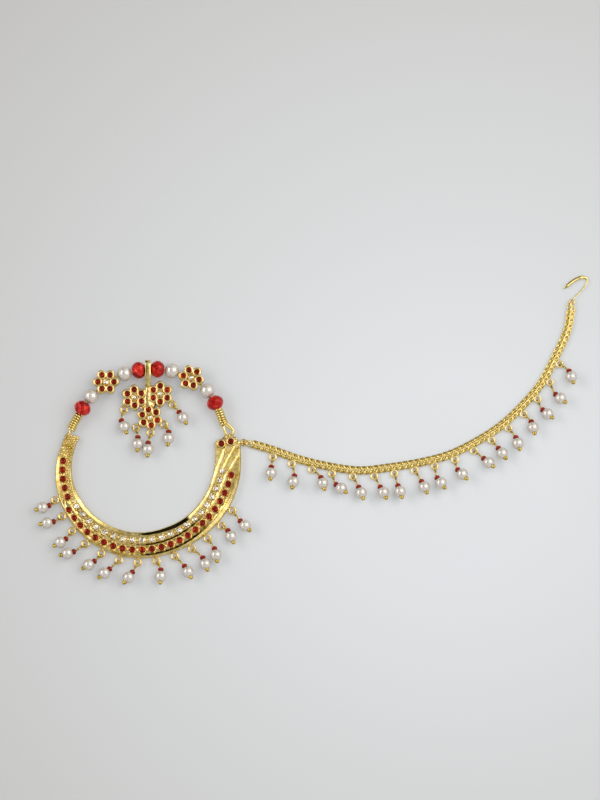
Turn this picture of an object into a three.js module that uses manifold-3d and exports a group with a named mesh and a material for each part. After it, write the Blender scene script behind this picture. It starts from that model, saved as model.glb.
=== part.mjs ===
// Nath: a hooped nose ring with a beaded wire, a small pendant and a support chain, lying flat on its back.
// Millimetres, +Z up. Everything is laid out round the hoop's centre, and the finished group is then
// shifted so that the middle of its underside is the origin. Angles are in degrees, anticlockwise from +X
// as seen from above.
import * as THREE from "three";
import { mergeVertices } from "three/addons/utils/BufferGeometryUtils.js";
import Module from "manifold-3d";

const wasm = await Module();
wasm.setup();

// ---------------------------------------------------------------- driving dimensions
const PLATE = {
  edgeHeight: 0.9, // where the inner bevel starts, above the flat back
  ridgeHeight: 2.0, // crest of the inner bevel and of the outer rim
  bedHeight: 1.55, // bed that the two rows of settings stand on
  bevelWidth: 1.2,
  rimWidth: 1.15,
  rimSide: 1.25, // height of the rim's upright side
  step: 8.4, // degrees between the sections
};
const SETTING = { red: 1.3, white: 1.1, crown: 2.75, slope: 0.45, sides: { red: 6, white: 4 } };
const FLOWER = { stones: 6, circle: 2.8, core: 3.1, thickness: 1.5, crown: 2.5 };
const RING = { radius: 1.0, wire: 0.22, segments: 6, sides: 3 }; // small fixed rings that carry the drops
const LUG = { width: 0.5, height: 0.5 }; // stem between such a ring and what it is cast on
// Eye of a head pin: its longest length, and how far it reaches past the wire of the ring that it hangs on.
const EYE = { radius: 0.8, wire: 0.2, segments: 6, sides: 3, hooked: 0.65, length: 2.9 };
const DROP = { pearl: 2.0, seed: 0.8, seedBack: 2.95, ball: 0.65, tip: 2.95, sides: 6 };
const WIRE = { radius: 0.35, bore: 0.55, steps: 36, sides: 6 };
const COIL = { radius: 1.0, waist: 0.75, turns: 5, length: 5.9, sides: 6 };
const RONDELLE = { radius: 2.75, half: 2.1, end: 1.5, bore: 0.62, sides: 8 };
const WIRE_PEARL = { radius: 2.5, bore: 0.62, sides: 8 };
const BEAD_GAP = 0.2;
// Upright eyes that the chain and the hook catch.
const LINK = { radius: 0.7, wire: 0.2, segments: 6, sides: 4 };
const CHAIN = { width: 2.2, height: 1.3, steps: 42, sides: 8, firstRing: 8.8, pitch: 6.66 };
const CHAIN_RING = { offset: 2.05, height: 0.75 };
const RIM_RING = { first: 205.2, pitch: 10.43, offset: 1.45, height: 1.1 };
const PENDANT_RING = { height: 0.9 };
const BAIL = { width: 1.65, thickness: 0.45, length: 9.1, height: 3.5, tilt: 14, shift: -1.5 };
// Small plate that holds the three flowers together.
const JOINER = { x: 1.9, y: 19.0, radius: 2.7, height: 1.0 };
const EAR_HOOK = { radius: 0.45, height: 0.5, steps: 14, sides: 6 };
// How the drops lie: rise of the pin towards its ball, and roll of the eye, in degrees.
const POSE = { rim: { rise: 12, roll: 35 }, chain: { rise: 20, roll: 45 } };

// ---------------------------------------------------------------- short tables
// Sections of the crescent.
const SECTIONS = [
  { angle: 161, inner: 22.2, outer: 26.4 },
  { angle: 170, inner: 22.5, outer: 27.1 },
  { angle: 180, inner: 23.1, outer: 28.1 },
  { angle: 195, inner: 23.7, outer: 29.4 },
  { angle: 210, inner: 24.0, outer: 30.5 },
  { angle: 225, inner: 24.2, outer: 31.5 },
  { angle: 240, inner: 24.3, outer: 32.3 },
  { angle: 258, inner: 24.3, outer: 32.8 },
  { angle: 272, inner: 24.1, outer: 32.7 },
  { angle: 290, inner: 23.7, outer: 32.4 },
  { angle: 310, inner: 23.8, outer: 32.5 },
  { angle: 330, inner: 23.8, outer: 32.8 },
  { angle: 350, inner: 23.9, outer: 32.7 },
  { angle: 362, inner: 24.1, outer: 32.6 },
  { angle: 371, inner: 24.5, outer: 32.8 },
];
// Each row of stones: how many, and the line that they follow, as [angle, radius].
const STONE_ROWS = [
  { size: "red", count: 5, line: [[181, 26.0], [194, 26.85], [207, 27.45]] },
  {
    size: "red",
    count: 23,
    line: [[215, 29.45], [232, 30.1], [256, 30.4], [290, 29.75], [315, 29.05], [332, 29.25], [350, 29.8]],
  },
  {
    size: "white",
    count: 21,
    line: [[216, 26.55], [240, 27.15], [268, 26.95], [296, 26.45], [320, 26.1], [336, 26.35], [352, 26.9]],
  },
];
// The two stones and the boss on the plate's square right end.
const END_SETTINGS = [
  { x: 26.1, y: 5.3, size: "red" },
  { x: 29.2, y: 6.0, size: "red" },
  { x: 27.5, y: 2.3, size: "white" },
];
// Upright eyes on the plate's right end: one for the wire's hook, one for the chain's ring.
const END_EYES = [
  { x: 28.8, y: 8.0, z: 1.4, towards: 90, radius: 0.85 },
  { x: 32.65, y: 5.8, z: 1.0, towards: 0, radius: 0.7 },
];
// Route of the hoop's wire, from the socket in the plate's left end to the tip of the hook at the right.
const WIRE_ROUTE = [
  { x: -24.0, y: 7.6, z: 0.95 },
  { x: -23.9, y: 8.8, z: 1.1 },
  { x: -23.2, y: 10.7, z: 1.5 },
  { x: -21.4, y: 14.0, z: 2.4 },
  { x: -19.6, y: 17.2, z: 2.8 },
  { x: -16.7, y: 21.2, z: 2.8 },
  { x: -11.9, y: 25.7, z: 2.8 },
  { x: -5.4, y: 28.8, z: 2.8 },
  { x: 2.2, y: 30.1, z: 2.8 },
  { x: 10.0, y: 29.5, z: 2.8 },
  { x: 16.2, y: 27.0, z: 2.8 },
  { x: 21.2, y: 23.1, z: 2.8 },
  { x: 24.0, y: 18.9, z: 2.8 },
  { x: 25.8, y: 15.0, z: 2.3 },
  { x: 27.0, y: 11.9, z: 1.7 },
  { x: 28.6, y: 10.8, z: 1.55 },
  { x: 29.6, y: 9.3, z: 1.45 },
  { x: 29.3, y: 8.2, z: 1.4 },
  { x: 28.3, y: 7.8, z: 1.4 },
  { x: 27.5, y: 8.6, z: 1.4 },
  { x: 27.3, y: 10.2, z: 1.5 },
];
const SOCKET_FOOT = { x: -24.05, y: 7.35, z: 0.95 }; // bottom of the hole that the wire's end stands in
// What is threaded on the wire, from left to right, with the length of wire that each takes up.
const THREADED = ["rondelle", "pearl", "flower", "pearl", "rondelle", "bail"].concat(
  ["rondelle", "pearl", "flower", "pearl", "rondelle"],
);
const THREAD_LENGTH = { rondelle: 4.2, pearl: 5.0, flower: 8.2, bail: 1.7 };
const THREAD_START = 10.7; // wire length before the first bead's middle
const WIRE_FLOWER_TURNS = [0, 46]; // direction of one stone in each flower on the wire
// The pendant's flowers, with the direction of one stone in each.
const PENDANT_FLOWERS = [
  { x: -2.6, y: 20.8, turn: 92 },
  { x: 5.9, y: 22.0, turn: 90 },
  { x: 2.5, y: 14.1, turn: 100 },
];
const PENDANT_RINGS = [
  { x: -6.0, y: 16.9, flower: 0 },
  { x: -2.0, y: 10.9, flower: 2 },
  { x: 2.8, y: 9.2, flower: 2 },
  { x: 7.2, y: 11.9, flower: 2 },
  { x: 10.0, y: 18.6, flower: 1 },
];
// Stem between the plate's end and the eye for the hook.
const END_STEM = [[28.8, 5.8, 1.3], [28.8, 7.2, 1.3]];
// Stem that carries the bail's foot, from inside the joiner to inside the bail.
const BAIL_FOOT = [[2.2, 21.0, 1.0], [2.2, 24.6, 1.3]];
// How each drop lies: the direction and distance of its pearl from its ring, and the direction of its pin.
const RIM_DROPS = [
  { swing: 212, reach: 4.9, lie: 200 },
  { swing: 205, reach: 5.5, lie: 193 },
  { swing: 224, reach: 5.6, lie: 213 },
  { swing: 209, reach: 6.9, lie: 197 },
  { swing: 223, reach: 5.7, lie: 214 },
  { swing: 223, reach: 6.6, lie: 221 },
  { swing: 239, reach: 6.0, lie: 234 },
  { swing: 284, reach: 5.4, lie: 268 },
  { swing: 309, reach: 6.9, lie: 299 },
  { swing: 310, reach: 6.8, lie: 290 },
  { swing: 296, reach: 6.3, lie: 282 },
  { swing: 310, reach: 4.9, lie: 294 },
  { swing: 309, reach: 6.6, lie: 313 },
];
const PENDANT_DROPS = [
  { swing: 270, reach: 5.9, lie: 292 },
  { swing: 275, reach: 5.7, lie: 268 },
  { swing: 261, reach: 5.9, lie: 267 },
  { swing: 286, reach: 5.0, lie: 266 },
  { swing: 306, reach: 5.7, lie: 301 },
];
const CHAIN_DROPS = [
  { swing: 263, reach: 5.8, lie: 266 },
  { swing: 274, reach: 6.4, lie: 260 },
  { swing: 305, reach: 6.1, lie: 285 },
  { swing: 299, reach: 6.1, lie: 319 },
  { swing: 295, reach: 6.4, lie: 290 },
  { swing: 297, reach: 6.6, lie: 296 },
  { swing: 286, reach: 6.7, lie: 287 },
  { swing: 298, reach: 6.8, lie: 294 },
  { swing: 289, reach: 6.4, lie: 304 },
  { swing: 295, reach: 5.8, lie: 312 },
  { swing: 319, reach: 6.6, lie: 317 },
  { swing: 307, reach: 5.9, lie: 303 },
  { swing: 300, reach: 6.3, lie: 286 },
  { swing: 303, reach: 5.8, lie: 284 },
  { swing: 303, reach: 6.3, lie: 318 },
  { swing: 302, reach: 6.8, lie: 317 },
  { swing: 311, reach: 6.1, lie: 288 },
];
// Route of the chain's middle line, from its first link to its last.
const CHAIN_ROUTE = [
  { x: 35.4, y: 5.7 },
  { x: 42.8, y: 3.5 },
  { x: 52.1, y: 0.2 },
  { x: 61.8, y: -2.1 },
  { x: 71.6, y: -3.4 },
  { x: 81.5, y: -2.4 },
  { x: 91.3, y: -0.8 },
  { x: 100.9, y: 1.7 },
  { x: 109.8, y: 6.0 },
  { x: 118.1, y: 11.4 },
  { x: 125.4, y: 18.2 },
  { x: 131.7, y: 25.8 },
  { x: 136.4, y: 34.6 },
  { x: 140.4, y: 43.6 },
  { x: 141.8, y: 51.4 },
];
// Loose ring between the plate and the chain, and the loop at the foot of the ear hook, both lying flat.
const LOOSE_RING = { radius: 0.95, wire: 0.25, segments: 6, sides: 4 };
const CHAIN_START = { x: 33.6, y: 5.85, z: 1.0, towards: 0 };
const HOOK_LOOP = { x: 142.0, y: 53.1, z: 0.75, towards: 90 };
// Upright eyes at the chain's two ends.
const CHAIN_EYES = [
  { x: 34.65, y: 5.85, z: 1.0, towards: 0 },
  { x: 141.85, y: 52.0, z: 0.95, towards: 90 },
];
// Route of the ear hook's wire, from the loop on the chain's last link to its tip.
const HOOK_ROUTE = [
  { x: 142.2, y: 53.9 },
  { x: 144.2, y: 56.0 },
  { x: 146.4, y: 58.6 },
  { x: 147.1, y: 60.4 },
  { x: 146.2, y: 61.4 },
  { x: 144.2, y: 61.1 },
  { x: 141.8, y: 59.7 },
  { x: 139.5, y: 57.7 },
];

// ---------------------------------------------------------------- helpers
const UP = new THREE.Vector3(0, 0, 1);
const radians = THREE.MathUtils.degToRad;
const heading = (degrees) => new THREE.Vector3(Math.cos(radians(degrees)), Math.sin(radians(degrees)), 0);
const polar = (degrees, radius, z = 0) => heading(degrees).multiplyScalar(radius).setZ(z);
const bearing = (vector) => THREE.MathUtils.radToDeg(Math.atan2(vector.y, vector.x));

// A closed geometry as a manifold solid.
function solidOf(geometry) {
  const bare = geometry.clone();
  bare.deleteAttribute("normal");
  bare.deleteAttribute("uv");
  const merged = mergeVertices(bare, 1e-4);
  const corners = [];
  for (let i = 0; i < merged.index.count; i += 3) {
    const [a, b, c] = [merged.index.getX(i), merged.index.getX(i + 1), merged.index.getX(i + 2)];
    if (a !== b && b !== c && c !== a) corners.push(a, b, c);
  }
  const mesh = new wasm.Mesh({
    numProp: 3,
    vertProperties: merged.attributes.position.array,
    triVerts: Uint32Array.from(corners),
  });
  return new wasm.Manifold(mesh);
}

function geometryOf(solid) {
  const mesh = solid.getMesh();
  const geometry = new THREE.BufferGeometry();
  geometry.setAttribute("position", new THREE.BufferAttribute(mesh.vertProperties, 3));
  geometry.setIndex(new THREE.BufferAttribute(mesh.triVerts, 1));
  geometry.computeVertexNormals();
  return geometry;
}

const joined = (solids) => solids.reduce((whole, piece) => whole.add(piece));

// Matrix that puts local +Y along a direction, with local +Z as near to up as it can be, rolled about it.
function along(origin, direction, roll = 0) {
  const y = direction.clone().normalize();
  const x = new THREE.Vector3().crossVectors(y, UP).normalize();
  const z = new THREE.Vector3().crossVectors(x, y);
  const matrix = new THREE.Matrix4().makeBasis(x, y, z).setPosition(origin);
  return matrix.multiply(new THREE.Matrix4().makeRotationY(radians(roll)));
}

// Solid of revolution about local +Y; the profile is a list of [radius, distance along the axis].
function turned(profile, sides) {
  const points = profile.map(([radius, distance]) => new THREE.Vector2(radius, distance));
  return new THREE.LatheGeometry(points, sides);
}

// Bead with a bore, about local +Y; the profile runs along the bead's outside.
function boredBead(profile, bore, sides) {
  const first = profile[0][1];
  const last = profile[profile.length - 1][1];
  return turned([[bore, first], ...profile, [bore, last], [bore, first]], sides);
}

// Upright solid of revolution at a place, from a profile of [radius, height].
function upright(profile, sides, x, y) {
  return turned(profile, sides).rotateX(Math.PI / 2).translate(x, y, 0);
}

// Ring lying flat, with one corner of its outline in the given direction.
function flatRing(centre, direction, size = RING) {
  const ring = new THREE.TorusGeometry(size.radius, size.wire, size.sides, size.segments);
  return ring.rotateZ(radians(direction)).translate(centre.x, centre.y, centre.z);
}

// Upright or rolled oval eye, its long way along a direction, with a corner at each end.
function eye(centre, direction, length, roll, size) {
  const ring = new THREE.TorusGeometry(size.radius, size.wire, size.sides, size.segments);
  ring.rotateZ(Math.PI / 2).scale(1, length / (2 * size.radius), 1).rotateY(Math.PI / 2);
  return ring.applyMatrix4(along(centre, direction, roll));
}

// Square stem between two points.
function stem(from, to, width, height) {
  const length = from.distanceTo(to);
  const middle = from.clone().add(to).multiplyScalar(0.5);
  return new THREE.BoxGeometry(width, length, height).applyMatrix4(along(middle, to.clone().sub(from)));
}

// Rod along a route, with an oval section: its height, its width and its number of sides.
function rodAlong(curve, height, width, steps, sides) {
  const corners = Array.from({ length: sides }, (_, i) => {
    const angle = (2 * Math.PI * i) / sides;
    return new THREE.Vector2((height / 2) * Math.cos(angle), (width / 2) * Math.sin(angle));
  });
  const options = { steps, extrudePath: curve, bevelEnabled: false };
  return new THREE.ExtrudeGeometry(new THREE.Shape(corners), options);
}

function curveThrough(points, height = 0) {
  const places = points.map(({ x, y, z = height }) => new THREE.Vector3(x, y, z));
  return new THREE.CatmullRomCurve3(places, false, "centripetal");
}

// Straight-line interpolation in a table of [position, value] rows.
function lookUp(rows, position) {
  const next = Math.max(1, rows.findIndex(([place]) => place >= position));
  const [[a, from], [b, to]] = [rows[next - 1], rows[next]];
  return from + ((to - from) * (position - a)) / (b - a);
}

const innerRadius = (angle) => lookUp(SECTIONS.map((row) => [row.angle, row.inner]), angle);
const outerRadius = (angle) => lookUp(SECTIONS.map((row) => [row.angle, row.outer]), angle);

// Evenly spaced numbers from first to last.
const spaced = (first, last, count) =>
  Array.from({ length: count }, (_, i) => first + ((last - first) * i) / (count - 1));

// ---------------------------------------------------------------- drops and the rings that carry them
// Where a drop's pearl, pin and eye lie, worked out from its ring and its row in the table.
function dropPose(ringCentre, row, rise) {
  const pearl = ringCentre.clone().addScaledVector(heading(row.swing), row.reach).setZ(DROP.pearl);
  const pin = heading(row.lie).multiplyScalar(Math.cos(radians(rise))).setZ(Math.sin(radians(rise)));
  const seedEnd = pearl.clone().addScaledVector(pin, -DROP.seedBack);
  const direction = bearing(seedEnd.clone().sub(ringCentre));
  const caught = ringCentre.clone().addScaledVector(heading(direction), RING.radius);
  return { pearl, pin, seedEnd, direction, caught };
}

// Head pin with its eye, a seed bead, a pearl and the ball that holds them on.
function pearlDrop(ringCentre, row, { rise, roll }) {
  const pose = dropPose(ringCentre, row, rise);
  const pull = pose.seedEnd.clone().sub(pose.caught);
  const room = pull.length() + EYE.hooked;
  const length = Math.min(room, EYE.length);
  pull.normalize();
  const near = pose.caught.clone().addScaledVector(pull, -EYE.hooked);
  const middle = near.clone().addScaledVector(pull, length / 2);
  const solids = [solidOf(eye(middle, pull, length, roll, EYE))];
  if (room > length) {
    const far = near.clone().addScaledVector(pull, length);
    const inSeed = pose.seedEnd.clone().addScaledVector(pose.pin, 0.2);
    solids.push(solidOf(stem(far, inSeed, 2 * EYE.wire, 2 * EYE.wire)));
  }
  const beads = turned(
    [
      [0, -DROP.seedBack],
      [0.7 * DROP.seed, -DROP.seedBack],
      [DROP.seed, -1.23 * DROP.pearl],
      [0.7 * DROP.seed, -0.94 * DROP.pearl],
      [0.95 * DROP.pearl, -0.3 * DROP.pearl],
      [0.95 * DROP.pearl, 0.3 * DROP.pearl],
      [DROP.ball, 1.15 * DROP.pearl],
      [0, DROP.tip],
    ],
    DROP.sides,
  );
  solids.push(solidOf(beads.applyMatrix4(along(pose.pearl, pose.pin))));
  return joined(solids);
}

// Fixed ring for a drop, with a stem back to the metal that it is cast on.
function castRing(centre, direction, root) {
  const back = root.clone().sub(centre).normalize();
  const inRing = centre.clone().addScaledVector(back, 0.8 * RING.radius);
  return [solidOf(flatRing(centre, direction)), solidOf(stem(inRing, root, LUG.width, LUG.height))];
}

function rimRings() {
  return RIM_DROPS.map((row, i) => {
    const angle = RIM_RING.first + RIM_RING.pitch * i;
    const outer = outerRadius(angle);
    const centre = polar(angle, outer + RIM_RING.offset, RIM_RING.height);
    return { row, centre, root: polar(angle, outer - 0.3, RIM_RING.height) };
  });
}

function pendantRings() {
  return PENDANT_DROPS.map((row, i) => {
    const { x, y, flower: number } = PENDANT_RINGS[i];
    const centre = new THREE.Vector3(x, y, PENDANT_RING.height);
    const middle = centre.clone().setX(PENDANT_FLOWERS[number].x).setY(PENDANT_FLOWERS[number].y);
    const root = middle.clone().addScaledVector(centre.clone().sub(middle).normalize(), FLOWER.core - 0.3);
    return { row, centre, root };
  });
}

const chainCurve = curveThrough(CHAIN_ROUTE, CHAIN.height / 2);

function chainRings() {
  const length = chainCurve.getLength();
  return CHAIN_DROPS.map((row, i) => {
    const part = (CHAIN.firstRing + CHAIN.pitch * i) / length;
    const across = new THREE.Vector3().crossVectors(chainCurve.getTangentAt(part), UP);
    const centre = chainCurve.getPointAt(part).addScaledVector(across, CHAIN_RING.offset);
    return { row, centre: centre.setZ(CHAIN_RING.height) };
  });
}

// ---------------------------------------------------------------- crescent plate
// Outline of one cross-section: a flat back, a bevelled inner edge, a bed and a rounded outer rim.
function plateSection(angle) {
  const inner = innerRadius(angle);
  const outer = outerRadius(angle);
  const outline = [
    [inner, 0],
    [inner, PLATE.edgeHeight],
    [inner + PLATE.bevelWidth, PLATE.ridgeHeight],
    [inner + PLATE.bevelWidth + 0.35, PLATE.bedHeight],
    [outer - PLATE.rimWidth - 0.3, PLATE.bedHeight],
    [outer - PLATE.rimWidth, PLATE.ridgeHeight],
    [outer - 0.35, PLATE.ridgeHeight],
    [outer, PLATE.rimSide],
    [outer, 0],
  ];
  return outline.map(([radius, z]) => polar(angle, radius, z));
}

// Closed skin through a row of sections, with a flat face on each end.
function lofted(sections) {
  const size = sections[0].length;
  const last = (sections.length - 1) * size;
  const index = [];
  for (let start = 0; start < last; start += size) {
    for (let i = 0; i < size; i++) {
      const [a, b] = [start + i, start + ((i + 1) % size)];
      index.push(a, b, b + size, a, b + size, a + size);
    }
  }
  const outline = sections[0].map((point) => new THREE.Vector2(Math.hypot(point.x, point.y), point.z));
  for (const [a, b, c] of THREE.ShapeUtils.triangulateShape(outline, [])) {
    index.push(a, b, c, last + a, last + c, last + b);
  }
  const positions = sections.flat().flatMap((point) => point.toArray());
  const geometry = new THREE.BufferGeometry();
  geometry.setAttribute("position", new THREE.Float32BufferAttribute(positions, 3));
  geometry.setIndex(index);
  return geometry;
}

// Tapered collar with its stone, from a footing inside the metal below it.
function setting({ x, y }, size, foot, crown) {
  const profile = [[0, foot], [SETTING[size], foot], [SETTING[size] - SETTING.slope, crown], [0, crown]];
  return solidOf(upright(profile, SETTING.sides[size], x, y));
}

function stonePlaces(row) {
  const last = row.line[row.line.length - 1][0];
  return spaced(row.line[0][0], last, row.count).map((angle) => polar(angle, lookUp(row.line, angle)));
}

function crescentPlate() {
  const first = SECTIONS[0].angle;
  const last = SECTIONS[SECTIONS.length - 1].angle;
  const angles = spaced(first, last, 1 + Math.round((last - first) / PLATE.step));
  const foot = PLATE.bedHeight - 0.4;
  const solids = [solidOf(lofted(angles.map(plateSection)))];
  for (const row of STONE_ROWS) {
    solids.push(...stonePlaces(row).map((place) => setting(place, row.size, foot, SETTING.crown)));
  }
  solids.push(...END_SETTINGS.map((place) => setting(place, place.size, 0, SETTING.crown)));
  for (const { row, centre, root } of rimRings()) {
    solids.push(...castRing(centre, dropPose(centre, row, POSE.rim.rise).direction, root));
  }
  solids.push(solidOf(stem(...END_STEM.map((end) => new THREE.Vector3(...end)), LUG.width, LUG.height)));
  for (const { x, y, z, towards, radius } of END_EYES) {
    const size = { ...LINK, radius };
    solids.push(solidOf(eye(new THREE.Vector3(x, y, z), heading(towards), 2 * radius, 0, size)));
  }
  const hole = curveThrough([SOCKET_FOOT, ...WIRE_ROUTE.slice(1, 4)]);
  return joined(solids).subtract(solidOf(rodAlong(hole, 2 * WIRE.bore, 2 * WIRE.bore, 6, WIRE.sides)));
}

// ---------------------------------------------------------------- beaded wire
const wireCurve = curveThrough(WIRE_ROUTE);
const wireLength = wireCurve.getLength();

// Middle of each threaded piece, as a length of wire from the socket.
function threadPlaces() {
  let distance = THREAD_START;
  let before = null;
  return THREADED.map((kind) => {
    if (before) distance += (THREAD_LENGTH[before] + THREAD_LENGTH[kind]) / 2 + BEAD_GAP;
    before = kind;
    return { kind, distance };
  });
}

const pointAt = (distance) => wireCurve.getPointAt(distance / wireLength);
const onWire = (distance) => along(pointAt(distance), wireCurve.getTangentAt(distance / wireLength));

// Binding wound on the wire, as a row of ridges.
function coil(distance) {
  const profile = [[0, -COIL.length / 2], [COIL.waist, -COIL.length / 2]];
  for (let turn = 0; turn < COIL.turns; turn++) {
    profile.push([COIL.radius, (turn + 0.5) * (COIL.length / COIL.turns) - COIL.length / 2]);
    profile.push([COIL.waist, (turn + 1) * (COIL.length / COIL.turns) - COIL.length / 2]);
  }
  profile.push([0, COIL.length / 2]);
  return solidOf(turned(profile, COIL.sides).applyMatrix4(onWire(distance)));
}

function hoopWire() {
  const places = threadPlaces();
  const reach = THREAD_LENGTH.rondelle / 2 + BEAD_GAP + COIL.length / 2;
  const wire = solidOf(rodAlong(wireCurve, 2 * WIRE.radius, 2 * WIRE.radius, WIRE.steps, WIRE.sides));
  const last = places[places.length - 1].distance;
  return joined([wire, coil(places[0].distance - reach), coil(last + reach)]);
}

function rondelle(distance) {
  const { half, end, radius } = RONDELLE;
  const profile = [[end, -half], [radius, -0.35 * half], [radius, 0.35 * half], [end, half]];
  return boredBead(profile, RONDELLE.bore, RONDELLE.sides).applyMatrix4(onWire(distance));
}

function wirePearl(distance) {
  const profile = [-70, -35, 0, 35, 70].map((latitude) => [
    WIRE_PEARL.radius * Math.cos(radians(latitude)),
    WIRE_PEARL.radius * Math.sin(radians(latitude)),
  ]);
  return boredBead(profile, WIRE_PEARL.bore, WIRE_PEARL.sides).applyMatrix4(onWire(distance));
}

// Flower lying face up: a round core, a ring of collars with stones and one stone in the middle.
function flower(x, y, base, turn) {
  const top = base + FLOWER.thickness;
  const crown = base + FLOWER.crown;
  const core = upright([[0, base], [FLOWER.core, base], [FLOWER.core, top], [0, top]], FLOWER.stones, x, y);
  const solids = [solidOf(core), setting({ x, y }, "white", base + 1, crown)];
  for (let i = 0; i < FLOWER.stones; i++) {
    const place = polar(turn + (360 * i) / FLOWER.stones, FLOWER.circle);
    solids.push(setting({ x: x + place.x, y: y + place.y }, "red", base, crown));
  }
  return joined(solids);
}

function wireFlower(distance, turn) {
  const { x, y, z } = pointAt(distance);
  const bore = solidOf(rodAlong(wireCurve, 2 * WIRE.bore, 2 * WIRE.bore, WIRE.steps, WIRE.sides));
  return flower(x, y, z - FLOWER.thickness / 2, turn).subtract(bore);
}

// ---------------------------------------------------------------- pendant
// Strap bent into a closed oval round the wire, tilted down towards the flowers.
function bail() {
  const ovalPoints = (length, height) =>
    spaced(0, 2 * Math.PI, 13).slice(0, -1).map((angle) => new THREE.Vector2(
      (length / 2) * Math.cos(angle), (height / 2) * Math.sin(angle),
    ));
  const shape = new THREE.Shape(ovalPoints(BAIL.length, BAIL.height));
  const inside = ovalPoints(BAIL.length - 2 * BAIL.thickness, BAIL.height - 2 * BAIL.thickness);
  shape.holes.push(new THREE.Path(inside.reverse()));
  const strap = new THREE.ExtrudeGeometry(shape, { depth: BAIL.width, bevelEnabled: false });
  const { x, y, z } = pointAt(threadPlaces().find(({ kind }) => kind === "bail").distance);
  strap.translate(0, 0, -BAIL.width / 2).rotateZ(radians(BAIL.tilt));
  return strap.rotateX(Math.PI / 2).rotateZ(Math.PI / 2).translate(x, y + BAIL.shift, z);
}

function pendant() {
  const solids = PENDANT_FLOWERS.map(({ x, y, turn }) => flower(x, y, 0, turn));
  const { x, y, radius, height } = JOINER;
  solids.push(solidOf(upright([[0, 0], [radius, 0], [radius, height], [0, height]], 6, x, y)));
  solids.push(solidOf(stem(...BAIL_FOOT.map((end) => new THREE.Vector3(...end)), BAIL.width, 1.0)));
  solids.push(solidOf(bail()));
  for (const { row, centre, root } of pendantRings()) {
    solids.push(...castRing(centre, dropPose(centre, row, POSE.rim.rise).direction, root));
  }
  return joined(solids);
}

// ---------------------------------------------------------------- support chain and ear hook
function chain() {
  const tube = rodAlong(chainCurve, CHAIN.height, CHAIN.width, CHAIN.steps, CHAIN.sides);
  const solids = [solidOf(tube)];
  for (const { row, centre } of chainRings()) {
    solids.push(solidOf(flatRing(centre, dropPose(centre, row, POSE.chain.rise).direction)));
  }
  for (const { x, y, z, towards } of CHAIN_EYES) {
    solids.push(solidOf(eye(new THREE.Vector3(x, y, z), heading(towards), 2 * LINK.radius, 0, LINK)));
  }
  return joined(solids);
}

function earHook() {
  const curve = curveThrough(HOOK_ROUTE, EAR_HOOK.height);
  const wire = rodAlong(curve, 2 * EAR_HOOK.radius, 2 * EAR_HOOK.radius, EAR_HOOK.steps, EAR_HOOK.sides);
  return joined([solidOf(wire), solidOf(flatRing(HOOK_LOOP, HOOK_LOOP.towards, LOOSE_RING))]);
}

// ---------------------------------------------------------------- assembly
const surface = (color, roughness, metalness) =>
  new THREE.MeshStandardMaterial({ color, roughness, metalness, flatShading: true });
const MATERIALS = {
  gold: surface(0xe2b64a, 0.28, 1),
  redGlass: surface(0xc8161a, 0.1, 0),
  pearl: surface(0xefe9e2, 0.25, 0),
};
const nath = new THREE.Group();

function addPiece(name, geometry, material) {
  const mesh = new THREE.Mesh(geometry, material.clone());
  mesh.name = name;
  nath.add(mesh);
}

addPiece("crescent_plate", geometryOf(crescentPlate()), MATERIALS.gold);
addPiece("hoop_wire", geometryOf(hoopWire()), MATERIALS.gold);
const counts = { rondelle: 0, pearl: 0, flower: 0 };
for (const { kind, distance } of threadPlaces()) {
  counts[kind] += 1;
  const number = counts[kind];
  if (kind === "rondelle") addPiece(`red_rondelle_${number}`, rondelle(distance), MATERIALS.redGlass);
  if (kind === "pearl") addPiece(`wire_pearl_${number}`, wirePearl(distance), MATERIALS.pearl);
  if (kind === "flower") {
    const blossom = wireFlower(distance, WIRE_FLOWER_TURNS[number - 1]);
    addPiece(`wire_flower_${number}`, geometryOf(blossom), MATERIALS.gold);
  }
}
addPiece("pendant", geometryOf(pendant()), MATERIALS.gold);
addPiece("chain_ring", flatRing(CHAIN_START, CHAIN_START.towards, LOOSE_RING), MATERIALS.gold);
addPiece("chain", geometryOf(chain()), MATERIALS.gold);
addPiece("ear_hook", geometryOf(earHook()), MATERIALS.gold);
const families = [
  { name: "rim_drop", rings: rimRings(), pose: POSE.rim },
  { name: "pendant_drop", rings: pendantRings(), pose: POSE.rim },
  { name: "chain_drop", rings: chainRings(), pose: POSE.chain },
];
for (const { name, rings, pose } of families) {
  rings.forEach(({ row, centre }, i) => {
    addPiece(`${name}_${i + 1}`, geometryOf(pearlDrop(centre, row, pose)), MATERIALS.pearl);
  });
}

const box = new THREE.Box3().setFromObject(nath);
const middle = box.getCenter(new THREE.Vector3());
nath.position.set(-middle.x, -middle.y, -box.min.z);

export default nath;
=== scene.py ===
"""Nath: a hooped nose ring with a stone-set crescent, a beaded wire, a flower pendant, pearl drops and a
support chain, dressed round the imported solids. Lengths are in millimetres in the hoop's own frame until a
piece is made, and angles are in degrees, anticlockwise from +X as seen from above."""
import math

import bpy
import bmesh
import numpy as np
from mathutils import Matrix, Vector, noise


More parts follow.
